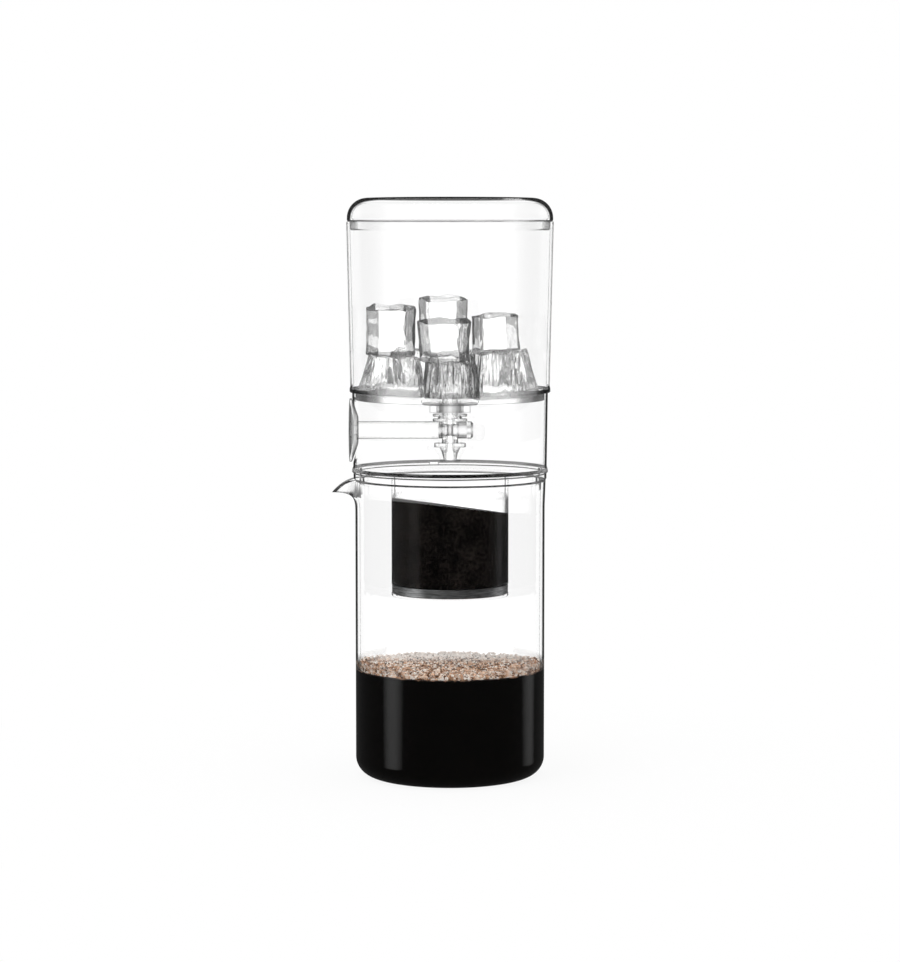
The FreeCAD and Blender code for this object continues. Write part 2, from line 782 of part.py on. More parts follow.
# Flanged nozzle: the drops form at its tip.
drip_nozzle = new_body("drip_nozzle")
turned(drip_nozzle, "nozzle", [
    (waterway, spigot_top - S.fit_gap),
    (waterway, nozzle_level),
    (S.nozzle_bore / 2, nozzle_level - S.nozzle_shoulder_drop),
    (S.nozzle_bore / 2, nozzle_level - S.nozzle_tip_drop),
    (S.nozzle_tip_diameter / 2, nozzle_level - S.nozzle_tip_drop),
    (S.nozzle_shoulder_diameter / 2, nozzle_level - S.nozzle_shoulder_drop),
    (S.nozzle_root_diameter / 2, nozzle_level),
    (S.nozzle_flange_diameter / 2, nozzle_level),
    (S.nozzle_flange_diameter / 2, neck_end),
    (S.nozzle_spigot_diameter / 2, neck_end),
    (S.nozzle_spigot_diameter / 2, spigot_top - S.fit_gap),
])


# ---------------------------------------------------------------- turning key
# Everything that turns with the knob is drawn about its own X axis and raised to the key's level.
def key_body(label):
    body = new_body(label)
    body.Placement = Placement(Vector(0, 0, key_level.value), Rotation())
    bind(body, "Placement.Base.z", key_level)
    return body


def square(sketch, side):
    """A square about the sketch's origin."""
    outline(sketch, [
        (-side / 2, -side / 2),
        (side / 2, -side / 2),
        (side / 2, side / 2),
        (-side / 2, side / 2),
    ])


# Frosted plug with two ring grooves, a cross bore and a square drive.
valve_plug = key_body("valve_plug")
plug_body_radius = barrel_bore - S.fit_gap
groove_floor = plug_body_radius - S.ring_groove_depth
groove_half = S.ring_groove_width / 2
stud_radius = S.plug_stud_diameter / 2
turned(valve_plug, "plug", [
    (-S.barrel_left, 0),
    (-S.barrel_left, plug_body_radius),
    (-S.ring_offset - groove_half, plug_body_radius),
    (-S.ring_offset - groove_half, groove_floor),
    (-S.ring_offset + groove_half, groove_floor),
    (-S.ring_offset + groove_half, plug_body_radius),
    (S.ring_offset - groove_half, plug_body_radius),
    (S.ring_offset - groove_half, groove_floor),
    (S.ring_offset + groove_half, groove_floor),
    (S.ring_offset + groove_half, plug_body_radius),
    (S.barrel_right, plug_body_radius),
    (S.barrel_right, stud_radius),
    (S.barrel_right + S.plug_stud_length, stud_radius),
    (S.barrel_right + S.plug_stud_length, 0),
], axis="H_Axis")
bore_sketch = new_sketch(valve_plug, "cross_bore_profile", "XY_Plane")
circle(bore_sketch, 0, waterway)
feature(valve_plug, "Pocket", "cross_bore", bore_sketch, Midplane=True, Length=S.barrel_diameter)
drive_sketch = new_sketch(valve_plug, "drive_profile", "YZ_Plane", -S.barrel_left)
square(drive_sketch, S.plug_drive)
feature(valve_plug, "Pocket", "drive", drive_sketch, Length=S.plug_drive_depth, Reversed=True)

# Two soft seal rings of square section fill the plug's grooves.
plug_seals = doc.addObject("Part::Compound", "plug_seals")
plug_seals.Label = "plug_seals"
seal_inner = groove_floor + S.ring_gap
seal_outer = barrel_bore - S.ring_gap
seal_half = groove_half - S.ring_gap
seal_rings = []
for side, centre in (("left", -S.ring_offset), ("right", S.ring_offset)):
    seal_ring = key_body(f"seal_ring_{side}")
    turned(seal_ring, f"seal_{side}", [
        (centre - seal_half, seal_inner),
        (centre + seal_half, seal_inner),
        (centre + seal_half, seal_outer),
        (centre - seal_half, seal_outer),
    ], axis="H_Axis")
    seal_rings.append(seal_ring)
plug_seals.Links = seal_rings

# Clear rod from the plug to the knob, with a square tongue at each end.
wall_at_key = chamber_low_radius + (chamber_top_radius - chamber_low_radius) * (
    (key_level - flange_top) / S.chamber_height)
knob_face = wall_at_key + S.knob_proud
knob_back = knob_face - S.knob_dish - S.knob_web
rod_start = S.barrel_left + S.end_float
rod_length = knob_back - rod_start
drive_rod = key_body("drive_rod")
rod_sketch = new_sketch(drive_rod, "rod_profile", "YZ_Plane", -rod_start)
circle(rod_sketch, 0, S.rod_diameter / 2)
feature(drive_rod, "Pad", "rod", rod_sketch, Length=rod_length, Reversed=True)
tongue_sketch = new_sketch(drive_rod, "tongue_profile", "YZ_Plane", -rod_start)
square(tongue_sketch, S.plug_drive - S.fit_gap * 2)
tongue_length = S.end_float + S.plug_drive_depth - S.fit_gap
feature(drive_rod, "Pad", "tongue", tongue_sketch, Length=tongue_length)
key_sketch = new_sketch(drive_rod, "knob_tongue_profile", "YZ_Plane", -knob_back)
square(key_sketch, S.knob_drive - S.fit_gap * 2)
knob_tongue = S.knob_drive_depth - S.fit_gap
feature(drive_rod, "Pad", "knob_tongue", key_sketch, Length=knob_tongue, Reversed=True)

# Dished clear disc: its rim stands just proud of the chamber, its boss covers the rod's end.
control_knob = key_body("control_knob")
knob_radius = S.knob_diameter / 2
boss_edge = S.knob_boss_diameter / 2
turned(control_knob, "dish", [
    (-knob_back, 0),
    (-knob_back, boss_edge + S.knob_web),
    (-knob_face + S.knob_rim, knob_radius),
    (-knob_face, knob_radius),
    (-knob_face, knob_radius - S.knob_rim),
    (-knob_face + S.knob_dish, boss_edge),
    (-knob_face, boss_edge),
    (-knob_face, 0),
], axis="H_Axis")
socket_sketch = new_sketch(control_knob, "socket_profile", "YZ_Plane", -knob_back)
square(socket_sketch, S.knob_drive)
feature(control_knob, "Pocket", "socket", socket_sketch, Length=S.knob_drive_depth)

# Clear cap on the plug's stud: it keeps the plug in the barrel.
end_cap = key_body("end_cap")
cap_start = S.barrel_right + S.end_float
cap_radius = S.cap_diameter / 2
stud_hole = stud_radius + S.fit_gap
turned(end_cap, "cap", [
    (cap_start, stud_hole),
    (cap_start, cap_radius),
    (cap_start + S.cap_length - S.cap_round, cap_radius),
    (cap_start + S.cap_length, cap_radius - S.cap_round),
    (cap_start + S.cap_length, 0),
    (S.barrel_right + S.plug_stud_length + S.fit_gap, 0),
    (S.barrel_right + S.plug_stud_length + S.fit_gap, stud_hole),
], axis="H_Axis")


# ---------------------------------------------------------------- ice
# Blocks of one mould lie in two layers. The lower ones lean inwards with the floor, and the one in
# the middle stands on the fitting's head.
floor_run = tank_low_bore - sump_radius
floor_lean = math.degrees(math.atan2(SIZES["floor_fall"], floor_run.value))
fitting_top = seal_top + S.fitting_head_height


def ice_block(number, radius, azimuth, lift, turn=0.0, lean=0.0, upright=False, share=1.0):
    """One block with bevelled edges.

    The radius is a share of the tank's and the lift a share of a block's height above the floor
    there. The turn is about the vertical, the lean tips the block towards the axis, an upright
    block stands on its narrow side, and the share is what has not melted of its height.
    """
    tall = S.ice_height * share
    block = doc.addObject("Part::Box", f"ice_block_{number}")
    bind(block, "Length", tall if upright else S.ice_width)
    bind(block, "Width", S.ice_width)
    bind(block, "Height", S.ice_width if upright else tall)
    doc.recompute()
    bevelled = doc.addObject("Part::Chamfer", f"ice_{number}")
    bevelled.Base = block
    bevel = SIZES["ice_chamfer"]
    bevelled.Edges = [(edge, bevel, bevel) for edge in range(1, len(block.Shape.Edges) + 1)]
    outwards = Rotation(Vector(0, 0, 1), azimuth).multVec(Vector(1, 0, 0))
    sideways = Vector(-outwards.y, outwards.x, 0)
    attitude = Rotation(sideways, -lean).multiply(Rotation(Vector(0, 0, 1), azimuth + turn))
    reach = radius * tank_low_bore.value
    climb = SIZES["floor_fall"] * (reach - sump_radius.value) / floor_run.value
    ground = max(floor_low.value + climb, fitting_top.value)
    half_height = block.Height.Value / 2 / math.cos(math.radians(lean))
    level = ground + half_height + SIZES["ice_gap"] + lift * SIZES["ice_height"]
    middle = Vector(block.Length.Value, block.Width.Value, block.Height.Value) / 2
    centre = outwards * reach + Vector(0, 0, level)
    block.Placement = Placement(centre - attitude.multVec(middle), attitude)
    return bevelled


ICE = [
    {"radius": 0.66, "azimuth": -88, "lift": 0.01, "turn": 4, "lean": floor_lean, "share": 0.72},
    {"radius": 0.63, "azimuth": -19, "lift": 0.01, "turn": 5, "lean": floor_lean, "share": 0.86},
    {"radius": 0.66, "azimuth": 52, "lift": 0.01, "turn": -3, "lean": floor_lean},
    {"radius": 0.66, "azimuth": 124, "lift": 0.01, "lean": floor_lean},
    {"radius": 0.66, "azimuth": 197, "lift": 0.01, "turn": -4, "lean": floor_lean, "share": 0.86},
    {"radius": 0.00, "azimuth": 0, "lift": 0.00, "turn": -18},
    {"radius": 0.64, "azimuth": 195, "lift": 0.913, "turn": -30, "lean": 3, "upright": True},
    {"radius": 0.19, "azimuth": 112, "lift": 1.026, "turn": -22, "upright": True},
    {"radius": 0.57, "azimuth": -97, "lift": 0.797, "turn": 13},
    {"radius": 0.53, "azimuth": -18, "lift": 0.923, "turn": 28, "lean": 3},
]
ice_cubes = doc.addObject("Part::Compound", "ice_cubes")
ice_cubes.Label = "ice_cubes"
ice_cubes.Links = [ice_block(number, **place) for number, place in enumerate(ICE, start=1)]
doc.recompute()


# ---------------------------------------------------------------- check and export
PIECES = [
    carafe, coffee, coffee_foam, filter_basket, mesh_ring, filter_mesh, retaining_ring,
    coffee_grounds, drip_chamber, water_tank, lid, inlet_fitting, inlet_seal, floor_washer,
    wing_nut, valve_body, drip_nozzle, valve_plug, plug_seals, drive_rod, control_knob, end_cap,
    ice_cubes,
]
for item in doc.Objects:
    if "Invalid" in item.State or "Error" in item.State:
        raise RuntimeError(f"{item.Label} failed: {item.State}")
for piece in PIECES:
    if piece.Shape.isNull() or not piece.Shape.isValid():
        raise RuntimeError(f"{piece.Label} has no valid shape")

os.makedirs("parts", exist_ok=True)
for piece in PIECES:
    piece.Shape.exportStep(f"parts/{piece.Label}.step")
    print(f"{piece.Label}: {len(piece.Shape.Solids)} solid, {piece.Shape.Volume:.0f} mm3")
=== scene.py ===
"""The looks of the cold-drip coffee maker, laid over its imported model. Metres, +Z up; the outlines
below are in millimetres, as (radius, height) or (radius, height, rounding)."""

import math
import random

import bmesh
import bpy
from mathutils import Matrix, Vector, noise


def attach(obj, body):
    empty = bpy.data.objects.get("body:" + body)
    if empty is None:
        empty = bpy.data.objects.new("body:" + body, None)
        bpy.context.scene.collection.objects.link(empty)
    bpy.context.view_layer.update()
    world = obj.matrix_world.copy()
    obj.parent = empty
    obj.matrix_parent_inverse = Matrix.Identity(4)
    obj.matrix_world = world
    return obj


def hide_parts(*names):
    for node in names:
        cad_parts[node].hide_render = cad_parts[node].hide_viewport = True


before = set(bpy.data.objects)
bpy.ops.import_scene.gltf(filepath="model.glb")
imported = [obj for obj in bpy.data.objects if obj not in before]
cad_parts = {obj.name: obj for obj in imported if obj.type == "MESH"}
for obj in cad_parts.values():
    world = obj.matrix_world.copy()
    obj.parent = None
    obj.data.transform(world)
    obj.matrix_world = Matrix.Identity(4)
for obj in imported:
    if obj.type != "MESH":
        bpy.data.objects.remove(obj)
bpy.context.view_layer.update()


# ---------------------------------------------------------------- carafe
# A jug of blown borosilicate glass. Its wall is one skin turned about the axis; the rim is
# fire-polished, and the pouring lip is drawn out and down from it while the glass is soft.
MM = 0.001
RIM_TOP = 155.3
LIP_FOOT, LIP_REACH, LIP_DROP, LIP_SPREAD = 137.0, 12.4, 7.2, 17.0
JUG_INSIDE, JUG_RIM, JUG_LIP = 1, 2, 3


def turned(outline, steps=192):
    """Spin an outline about Z. Corners with a rounding are bevelled before the spin."""
    shape = bmesh.new()
    corners = [shape.verts.new((corner[0] * MM, 0, corner[1] * MM)) for corner in outline]
    shape.faces.new(corners)
    for vert, corner in zip(corners, outline):
        if len(corner) == 3:
            rounding = corner[2]
            bmesh.ops.bevel(
                shape, geom=[vert], offset=rounding * MM, offset_type="OFFSET",
                segments=5 if rounding < 4 else 24, profile=0.5, affect="VERTICES", material=-1)
    bmesh.ops.delete(shape, geom=shape.faces[:], context="FACES_ONLY")
    on_axis = [edge for edge in shape.edges if all(vert.co.x < 1e-7 for vert in edge.verts)]
    bmesh.ops.delete(shape, geom=on_axis, context="EDGES")
    bmesh.ops.spin(
        shape, geom=shape.verts[:] + shape.edges[:], cent=(0, 0, 0), axis=(0, 0, 1),
        dvec=(0, 0, 0), angle=math.tau, steps=steps, use_merge=True,
        use_normal_flip=False, use_duplicate=False)
    bmesh.ops.remove_doubles(shape, verts=shape.verts[:], dist=1e-7)
    bmesh.ops.recalc_face_normals(shape, faces=shape.faces[:])
    return shape


def ringed(shape, heights):
    """Cut level rings round a shape, so that it has points to bend or cut there."""
    for height in heights:
        bmesh.ops.bisect_plane(
            shape, geom=shape.verts[:] + shape.edges[:] + shape.faces[:], dist=1e-7,
            plane_co=(0, 0, height * MM), plane_no=(0, 0, 1))


jug = turned([
    (0, 0), (49.2, 0, 10), (49.2, 57.0), (49.2, 141.3), (49.7, RIM_TOP, 0.9),
    (47.5, RIM_TOP, 0.9), (47.0, 141.3), (47.0, 57.0), (47.0, 3.0, 7.8), (0, 3.0)], steps=288)
ringed(jug, range(138, 155))
for face in jug.faces:
    middle = face.calc_center_median() / MM
    out = Vector((middle.x, middle.y, 0)).length
    at_lip = middle.x < -out * 0.97
    if middle.z > (154.9 if at_lip else 154.3):
        face.material_index = JUG_RIM
    elif middle.z > 146 and at_lip:
        face.material_index = JUG_LIP
    elif out < 48.2 and middle.z < 150:
        face.material_index = JUG_INSIDE
for vert in jug.verts:
    height = vert.co.z / MM
    if height <= LIP_FOOT:
        continue
    aside = math.degrees(abs(math.atan2(vert.co.y, -vert.co.x)))
    if aside >= LIP_SPREAD:
        continue
    up = min(1.0, (height - LIP_FOOT) / (RIM_TOP - LIP_FOOT))
    pull = (0.5 + 0.5 * math.cos(math.pi * aside / LIP_SPREAD)) ** 1.5
    out = LIP_REACH * up ** 3.0 * pull
    risen = (RIM_TOP - LIP_FOOT - LIP_DROP) * (1 - (1 - up) ** 2.2)
    drop = ((RIM_TOP - LIP_FOOT) * up - risen) * pull ** 2.0
    squeeze = 1 - 0.35 * up ** 2.6 * pull
    outwards = Vector((vert.co.x, vert.co.y * squeeze, 0))
    wall = Vector((vert.co.x, vert.co.y, 0)).length
    outwards = outwards.normalized() * (wall + out * MM)
    vert.co = Vector((outwards.x, outwards.y, vert.co.z - drop * MM))


def add(nodes, kind, values=None, operation=None):
    """A new node with its input values by name, and its operation where it has one."""
    node = nodes.new(kind)
    if operation:
        node.operation = operation
    for socket, value in (values or {}).items():
        node.inputs[socket].default_value = value
    return node


def wired(links, *pairs):
    """Join outputs to inputs, one pair after the other."""
    for output, socket in pairs:
        links.new(output, socket)


def ramp(nodes, links, value, stops):
    """The colour that a value has between stops, each of them a position and a colour."""
    scale = nodes.new("ShaderNodeValToRGB")
    elements = scale.color_ramp.elements
    elements[0].position = stops[0][0]
    elements[1].position = stops[-1][0]
    for position, colour in stops[1:-1]:
        elements.new(position)
    for element, (position, colour) in zip(elements, stops):
        element.color = colour
    links.new(value, scale.inputs["Fac"])
    return scale.outputs["Color"]


def faded(nodes, links, share, colour, plain):
    """A colour that goes over to a plain one as the share rises."""
    mix = nodes.new("ShaderNodeMix")
    mix.data_type = "RGBA"
    mix.inputs["B"].default_value = plain
    wired(links, (share, mix.inputs["Factor"]), (colour, mix.inputs["A"]))
    return mix.outputs["Result"]


def new_finish(name, values):
    """A material with its shader's values: gives it, its nodes, its links, shader and place."""
    finish = bpy.data.materials.new(name)
    finish.use_nodes = True
    nodes = finish.node_tree.nodes
    shader = nodes["Principled BSDF"]
    for socket, value in values.items():
        shader.inputs[socket].default_value = value
    return finish, nodes, finish.node_tree.links, shader, nodes.new("ShaderNodeTexCoord")


def effect(name, inputs, output):
    """A node group with named inputs and one output: gives it, its entry and its exit."""
    group = bpy.data.node_groups.new(name, "ShaderNodeTree")
    for label, kind in inputs.items():
        group.interface.new_socket(label, in_out="INPUT", socket_type=kind)
    group.interface.new_socket(output, in_out="OUTPUT", socket_type="NodeSocketFloat")
    entry = group.nodes.new("NodeGroupInput").outputs
    return group, entry, group.nodes.new("NodeGroupOutput").inputs[output]


def placed(nodes, group, values):
    """An effect set into a material, with this material's own values."""
    node = nodes.new("ShaderNodeGroup")
    node.node_tree = group
    for socket, value in values.items():
        node.inputs[socket].default_value = value
    return node


# How level a face lies: 0 where the upright share of its normal is Start, 1 from Full on.
level_faces, entry, mask = effect("level_faces", {
    "Normal": "NodeSocketVector", "Start": "NodeSocketFloat", "Full": "NodeSocketFloat"}, "Mask")
parts = add(level_faces.nodes, "ShaderNodeSeparateXYZ")
upright = add(level_faces.nodes, "ShaderNodeMath", operation="ABSOLUTE")
step = add(level_faces.nodes, "ShaderNodeMapRange")
wired(level_faces.links, (entry["Normal"], parts.inputs["Vector"]),
      (parts.outputs["Z"], upright.inputs[0]), (upright.outputs[0], step.inputs["Value"]),
      (entry["Start"], step.inputs["From Min"]), (entry["Full"], step.inputs["From Max"]),
      (step.outputs["Result"], mask))

# How wet the far side of a wall is: 0 at the height Dry and above it, 1 at Wet and below it.
wetted_wall, entry, mask = effect("wetted_wall", {
    "Point": "NodeSocketVector", "Dry": "NodeSocketFloat", "Wet": "NodeSocketFloat"}, "Mask")
parts = add(wetted_wall.nodes, "ShaderNodeSeparateXYZ")
step = add(wetted_wall.nodes, "ShaderNodeMapRange")
wired(wetted_wall.links, (entry["Point"], parts.inputs["Vector"]),
      (parts.outputs["Z"], step.inputs["Value"]), (entry["Dry"], step.inputs["From Min"]),
      (entry["Wet"], step.inputs["From Max"]), (step.outputs["Result"], mask))

# The soft waves that blowing, moulding and melting leave. Stretch draws them out.
soft_waves, entry, waves_height = effect("soft_waves", {
    "Point": "NodeSocketVector", "Stretch": "NodeSocketVector",
    "Fineness": "NodeSocketFloat"}, "Height")
drawn = add(soft_waves.nodes, "ShaderNodeMapping")
waves = add(soft_waves.nodes, "ShaderNodeTexNoise", {"Detail": 1.0})
wired(soft_waves.links, (entry["Point"], drawn.inputs["Vector"]),
      (entry["Stretch"], drawn.inputs["Scale"]), (drawn.outputs["Vector"], waves.inputs["Vector"]),
      (entry["Fineness"], waves.inputs["Scale"]), (waves.outputs["Fac"], waves_height))


def clear_finish(name, ior, stops, bends=(), level=(), wet=(), roughness=0.0, ripple=0.0,
                 ripple_size=1.0, ripple_run=1.0):
    """See-through stuff, by how far its surface leans away from the eye.

    The stops give how much a surface lets through. Shares below 1 are painted shade, darker where
    the surface leans away, for the dark lines that refraction and reflection draw along the rims
    of clear things. Where bends falls below 1 the wall is so thin that light goes straight on, and
    more so on its way out. In level are the start and the full share at which a face counts as
    level, and such a face's own values for stops and bends.
    Between the two heights in wet, low and high, the wall goes over to solid and clear.
    """
    finish, nodes, links, shader, place = new_finish(
        name, {"Transmission Weight": 1.0, "IOR": ior, "Roughness": roughness})
    lean = add(nodes, "ShaderNodeLayerWeight", {"Blend": 0.5})
    if level:
        start, full, level_clear, level_bends = level
        lying = placed(nodes, level_faces, {"Start": start, "Full": full})
        links.new(place.outputs["Normal"], lying.inputs["Normal"])
    if wet:
        soaked = placed(nodes, wetted_wall, {"Dry": wet[1] * MM, "Wet": wet[0] * MM})
        links.new(place.outputs["Object"], soaked.inputs["Point"])
    for socket, points, power in (("Base Color", stops, 2), ("Alpha", bends, 1)):
        if not points:
            continue
        result = ramp(nodes, links, lean.outputs["Facing"], [
            (position, (share ** power, share ** power, share ** power, 1))
            for position, share in points])
        if level:
            kept = level_clear ** 2 if socket == "Base Color" else level_bends
            result = faded(nodes, links, lying.outputs["Mask"], result, (kept, kept, kept, 1))
        if socket == "Alpha":
            side = nodes.new("ShaderNodeNewGeometry")
            outwards = add(nodes, "ShaderNodeMath", {1: -min(0.12, points[0][1])}, "MULTIPLY_ADD")
            outwards.use_clamp = True
            wired(links, (side.outputs["Backfacing"], outwards.inputs[0]),
                  (result, outwards.inputs[2]))
            result = outwards.outputs[0]
        if wet:
            result = faded(nodes, links, soaked.outputs["Mask"], result, (1, 1, 1, 1))
        links.new(result, shader.inputs[socket])
    # the waves tilt the lean too, so the painted shade runs in streaks with them
    if ripple:
        rippled = placed(nodes, soft_waves, {
            "Stretch": (1, 1, 1 / ripple_run), "Fineness": 1 / (ripple_size * MM)})
        bump = add(nodes, "ShaderNodeBump", {"Strength": 1.0, "Distance": ripple * MM})
        wired(links, (place.outputs["Object"], rippled.inputs["Point"]),
              (rippled.outputs["Height"], bump.inputs["Height"]),
              (bump.outputs["Normal"], shader.inputs["Normal"]),
              (bump.outputs["Normal"], lean.inputs["Normal"]))
    return finish


GLASS = 1.47
# Painted shade: the shares below 1 in these stops darken the glass where it leans away from the eye,
# to draw the jug's dark outlines, its rim line and the lip's edge.
EDGE_DARK = [(0.0, 1.0), (0.73, 0.99), (0.78, 0.15), (0.81, 0.01), (1.0, 0.0)]
INNER_DARK = [(0.0, 1.0), (0.86, 0.97), (0.93, 0.85), (1.0, 0.60)]
THIN_WALL = [(0.0, 0.09), (0.77, 0.10), (0.82, 1.0)]
THIN_INNER = [(0.0, 0.08), (0.86, 0.10), (1.0, 0.75)]
LEVEL_FACES = (0.90, 0.985, 0.99, 0.085)
COFFEE_WETS = (57.0, 62.0)
blown_glass = clear_finish(
    "blown_glass", GLASS, EDGE_DARK, THIN_WALL, LEVEL_FACES, COFFEE_WETS, ripple=0.003,
    ripple_size=24)
glass_inside = clear_finish(
    "glass_inside", GLASS, INNER_DARK, THIN_INNER, LEVEL_FACES, COFFEE_WETS, ripple=0.003,
    ripple_size=24)
rim_shade = clear_finish("rim_shade", GLASS, [(0.0, 0.08), (0.3, 0.20), (1.0, 0.10)])
drawn_lip = clear_finish(
    "drawn_lip", GLASS, [(0.0, 1.0), (0.45, 0.97), (0.62, 0.5), (0.76, 0.05), (1.0, 0.0)],
    [(0.0, 0.1), (0.45, 0.15), (0.62, 1.0)])


def set_in_place(name, shape, body, finish, stands_for=(), even=True, crease=32):
    """Make a shape an object of its own that moves with its body."""
    mesh = bpy.data.meshes.new(name)
    for face in shape.faces:
        face.smooth = True
    for edge in shape.edges:
        edge.smooth = edge.is_manifold and edge.calc_face_angle(0) < math.radians(crease)
    shape.to_mesh(mesh)
    shape.free()
    mesh.materials.append(finish)
    piece = bpy.data.objects.new(name, mesh)
    bpy.context.scene.collection.objects.link(piece)
    if even:
        piece.modifiers.new("even_normals", "WEIGHTED_NORMAL").keep_sharp = True
    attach(piece, body)
    if stands_for:
        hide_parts(*stands_for)
    return piece


jug_piece = set_in_place("jug_glass", jug, "carafe", blown_glass, ["carafe"])
for finish in (glass_inside, rim_shade, drawn_lip):
    jug_piece.data.materials.append(finish)


# ---------------------------------------------------------------- coffee
# Cold coffee, black and still, wets the glass all round. It reaches a hair into the wall so that
# no film of air shines between the two.
COFFEE_TOP, COFFEE_SIDE = 56.0, 47.1
coffee_black, nodes, links, shader, place = new_finish(
    "coffee_black", {"Roughness": 0.25, "IOR": 1.34, "Specular IOR Level": 0.1})
cloud = add(nodes, "ShaderNodeTexNoise", {"Scale": 60})
blacks = ramp(nodes, links, cloud.outputs["Fac"], [
    (0.0, (0.0007, 0.0005, 0.0004, 1)), (1.0, (0.0022, 0.0015, 0.0011, 1))])
wired(links, (place.outputs["Object"], cloud.inputs["Vector"]),
      (blacks, shader.inputs["Base Color"]))
pool = turned([(0, 2.9), (COFFEE_SIDE, 2.9, 7.9), (COFFEE_SIDE, COFFEE_TOP), (0, COFFEE_TOP)])
set_in_place("coffee_pool", pool, "carafe", coffee_black, ["coffee"])


# ---------------------------------------------------------------- foam
# Fine brown froth that the drops beat up: a thin bed with bubbles of all sizes on it. They climb
# the glass all round. The bubbles' tone runs at random from dark brown to near white; the palest
# are partly the froth's own colour and partly a painted highlight for the shine of thin bubbles.
BED_FOOT, BED_TOP = COFFEE_TOP - 0.2, COFFEE_TOP + 0.5
dark_froth, nodes, links, shader, place = new_finish("dark_froth", {"Roughness": 0.5})
film = add(nodes, "ShaderNodeTexNoise", {"Scale": 260})
browns = ramp(nodes, links, film.outputs["Fac"], [
    (0.48, (0.02, 0.010, 0.006, 1)), (0.60, (0.30, 0.17, 0.10, 1))])
wired(links, (place.outputs["Object"], film.inputs["Vector"]),
      (browns, shader.inputs["Base Color"]))
bed = turned([(0, BED_FOOT), (COFFEE_SIDE, BED_FOOT), (COFFEE_SIDE, BED_TOP), (0, BED_TOP)],
             steps=128)
set_in_place("foam_bed", bed, "carafe", dark_froth, ["coffee_foam"])

froth, nodes, links, shader, place = new_finish("froth", {"Roughness": 0.22})
cells = add(nodes, "ShaderNodeTexVoronoi", {"Scale": 620})
split = add(nodes, "ShaderNodeSeparateColor")
across = add(nodes, "ShaderNodeSeparateXYZ")
# painted light: the froth is painted paler towards the back
behind = add(nodes, "ShaderNodeMapRange", {"From Min": 0.010, "From Max": 0.036, "To Max": 0.9})
tones = ramp(nodes, links, split.outputs["Red"], [
    (0.10, (0.13, 0.06, 0.03, 1)), (0.30, (0.50, 0.27, 0.155, 1)), (0.58, (0.88, 0.59, 0.41, 1)),
    (0.78, (0.98, 0.89, 0.80, 1)), (1.0, (1.0, 0.97, 0.93, 1))])
paler = faded(nodes, links, behind.outputs["Result"], tones, (0.97, 0.91, 0.86, 1))
wired(links, (place.outputs["Object"], cells.inputs["Vector"]),
      (cells.outputs["Color"], split.inputs["Color"]),
      (place.outputs["Object"], across.inputs["Vector"]),
      (across.outputs["Y"], behind.inputs["Value"]), (paler, shader.inputs["Base Color"]))

BUBBLES, CLIMBERS = 7600, 2400
BUBBLE_SIZES = (0.35, 0.4, 0.45, 0.5, 0.6, 0.8)
foam_seed = random.Random(41)
bubble = bmesh.new()
bmesh.ops.create_icosphere(bubble, subdivisions=1, radius=1.0)
ball = bpy.data.meshes.new("bubble")
bubble.to_mesh(ball)
bubble.free()
bubbles = bmesh.new()
for number in range(BUBBLES):
    angle = foam_seed.uniform(0, math.tau)
    size = foam_seed.choice(BUBBLE_SIZES)
    if number < CLIMBERS:
        radius = 46.75 - size * 0.75
        high = 4.2 - 2.4 * max(0.0, math.sin(angle))
        climb = high * foam_seed.random() ** 1.9
        rise = COFFEE_TOP + 0.1 + climb - 0.5 * foam_seed.random()
    else:
        radius = 46.3 * math.sqrt(foam_seed.random())
        spot = Vector((radius * math.cos(angle), radius * math.sin(angle), 0))
        # one thin patch lets the coffee show
        gap = Vector(((spot.x - 10) / 8, (spot.y - 27) / 3, 0)).length
        if gap < 1 + 0.4 * noise.noise(spot * 0.4) and foam_seed.random() < 0.9:
            continue
        rise = COFFEE_TOP + 0.55 + 0.5 * noise.noise(spot * 0.11) + foam_seed.uniform(-0.2, 0.3)
    spot = Vector((radius * math.cos(angle), radius * math.sin(angle), rise))
    where = Matrix.Translation(spot * MM) @ Matrix.Scale(size * MM, 4)
    ball.transform(where)
    bubbles.from_mesh(ball)
    ball.transform(where.inverted())
set_in_place("foam_bubbles", bubbles, "carafe", froth, even=False, crease=90)


# ---------------------------------------------------------------- filter basket
# One clear moulding. Its flange lies on the carafe's rim, a skirt drops inside the mouth, a rib
# centres the chamber above, and the long tube holds the grounds.
PLASTIC = 1.49
# Painted shade: these finishes darken the moulding and the tube towards their rims, and rim_shade
# paints the flange's edge dark.
clear_moulding = clear_finish(
    "clear_moulding", PLASTIC, EDGE_DARK, THIN_WALL, LEVEL_FACES, ripple=0.003, ripple_size=18)
tube_wall = clear_finish(
    "tube_wall", 1.22, [(0.0, 1.0), (0.82, 0.98), (0.93, 0.55), (1.0, 0.25)], THIN_WALL,
    wet=(145.0, 147.5), ripple=0.003, ripple_size=18)


def give(piece, finish, chosen):
    """Lay another finish on the faces that are chosen by their middle, in millimetres."""
    piece.data.materials.append(finish)
    for face in piece.data.polygons:
        middle = face.center / MM
        if chosen(Vector((middle.x, middle.y, 0)).length, middle.z):
            face.material_index = len(piece.data.materials) - 1


basket = turned([
    (28.4, 101.5), (28.05, 100.4), (28.05, 96.75), (29.15, 96.75), (29.15, 100.4),
    (30.4, 100.4, 0.2), (30.4, RIM_TOP), (45.5, RIM_TOP), (45.5, 152.8, 0.3), (47.0, 152.8, 0.3),
    (47.0, RIM_TOP), (50.1, RIM_TOP, 0.5), (50.1, 158.8, 0.6), (48.3, 158.8), (48.3, 160.3, 0.3),
    (46.8, 160.3, 0.3), (46.8, 157.1), (29.1, 157.1, 0.4)])
basket_piece = set_in_place("filter_moulding", basket, "filter",
                            clear_moulding, ["filter_basket"])
give(basket_piece, tube_wall, lambda out, height: out < 30.5 and height < 156.5)
give(basket_piece, rim_shade, lambda out, height: height > 158.2 and out > 49.5)


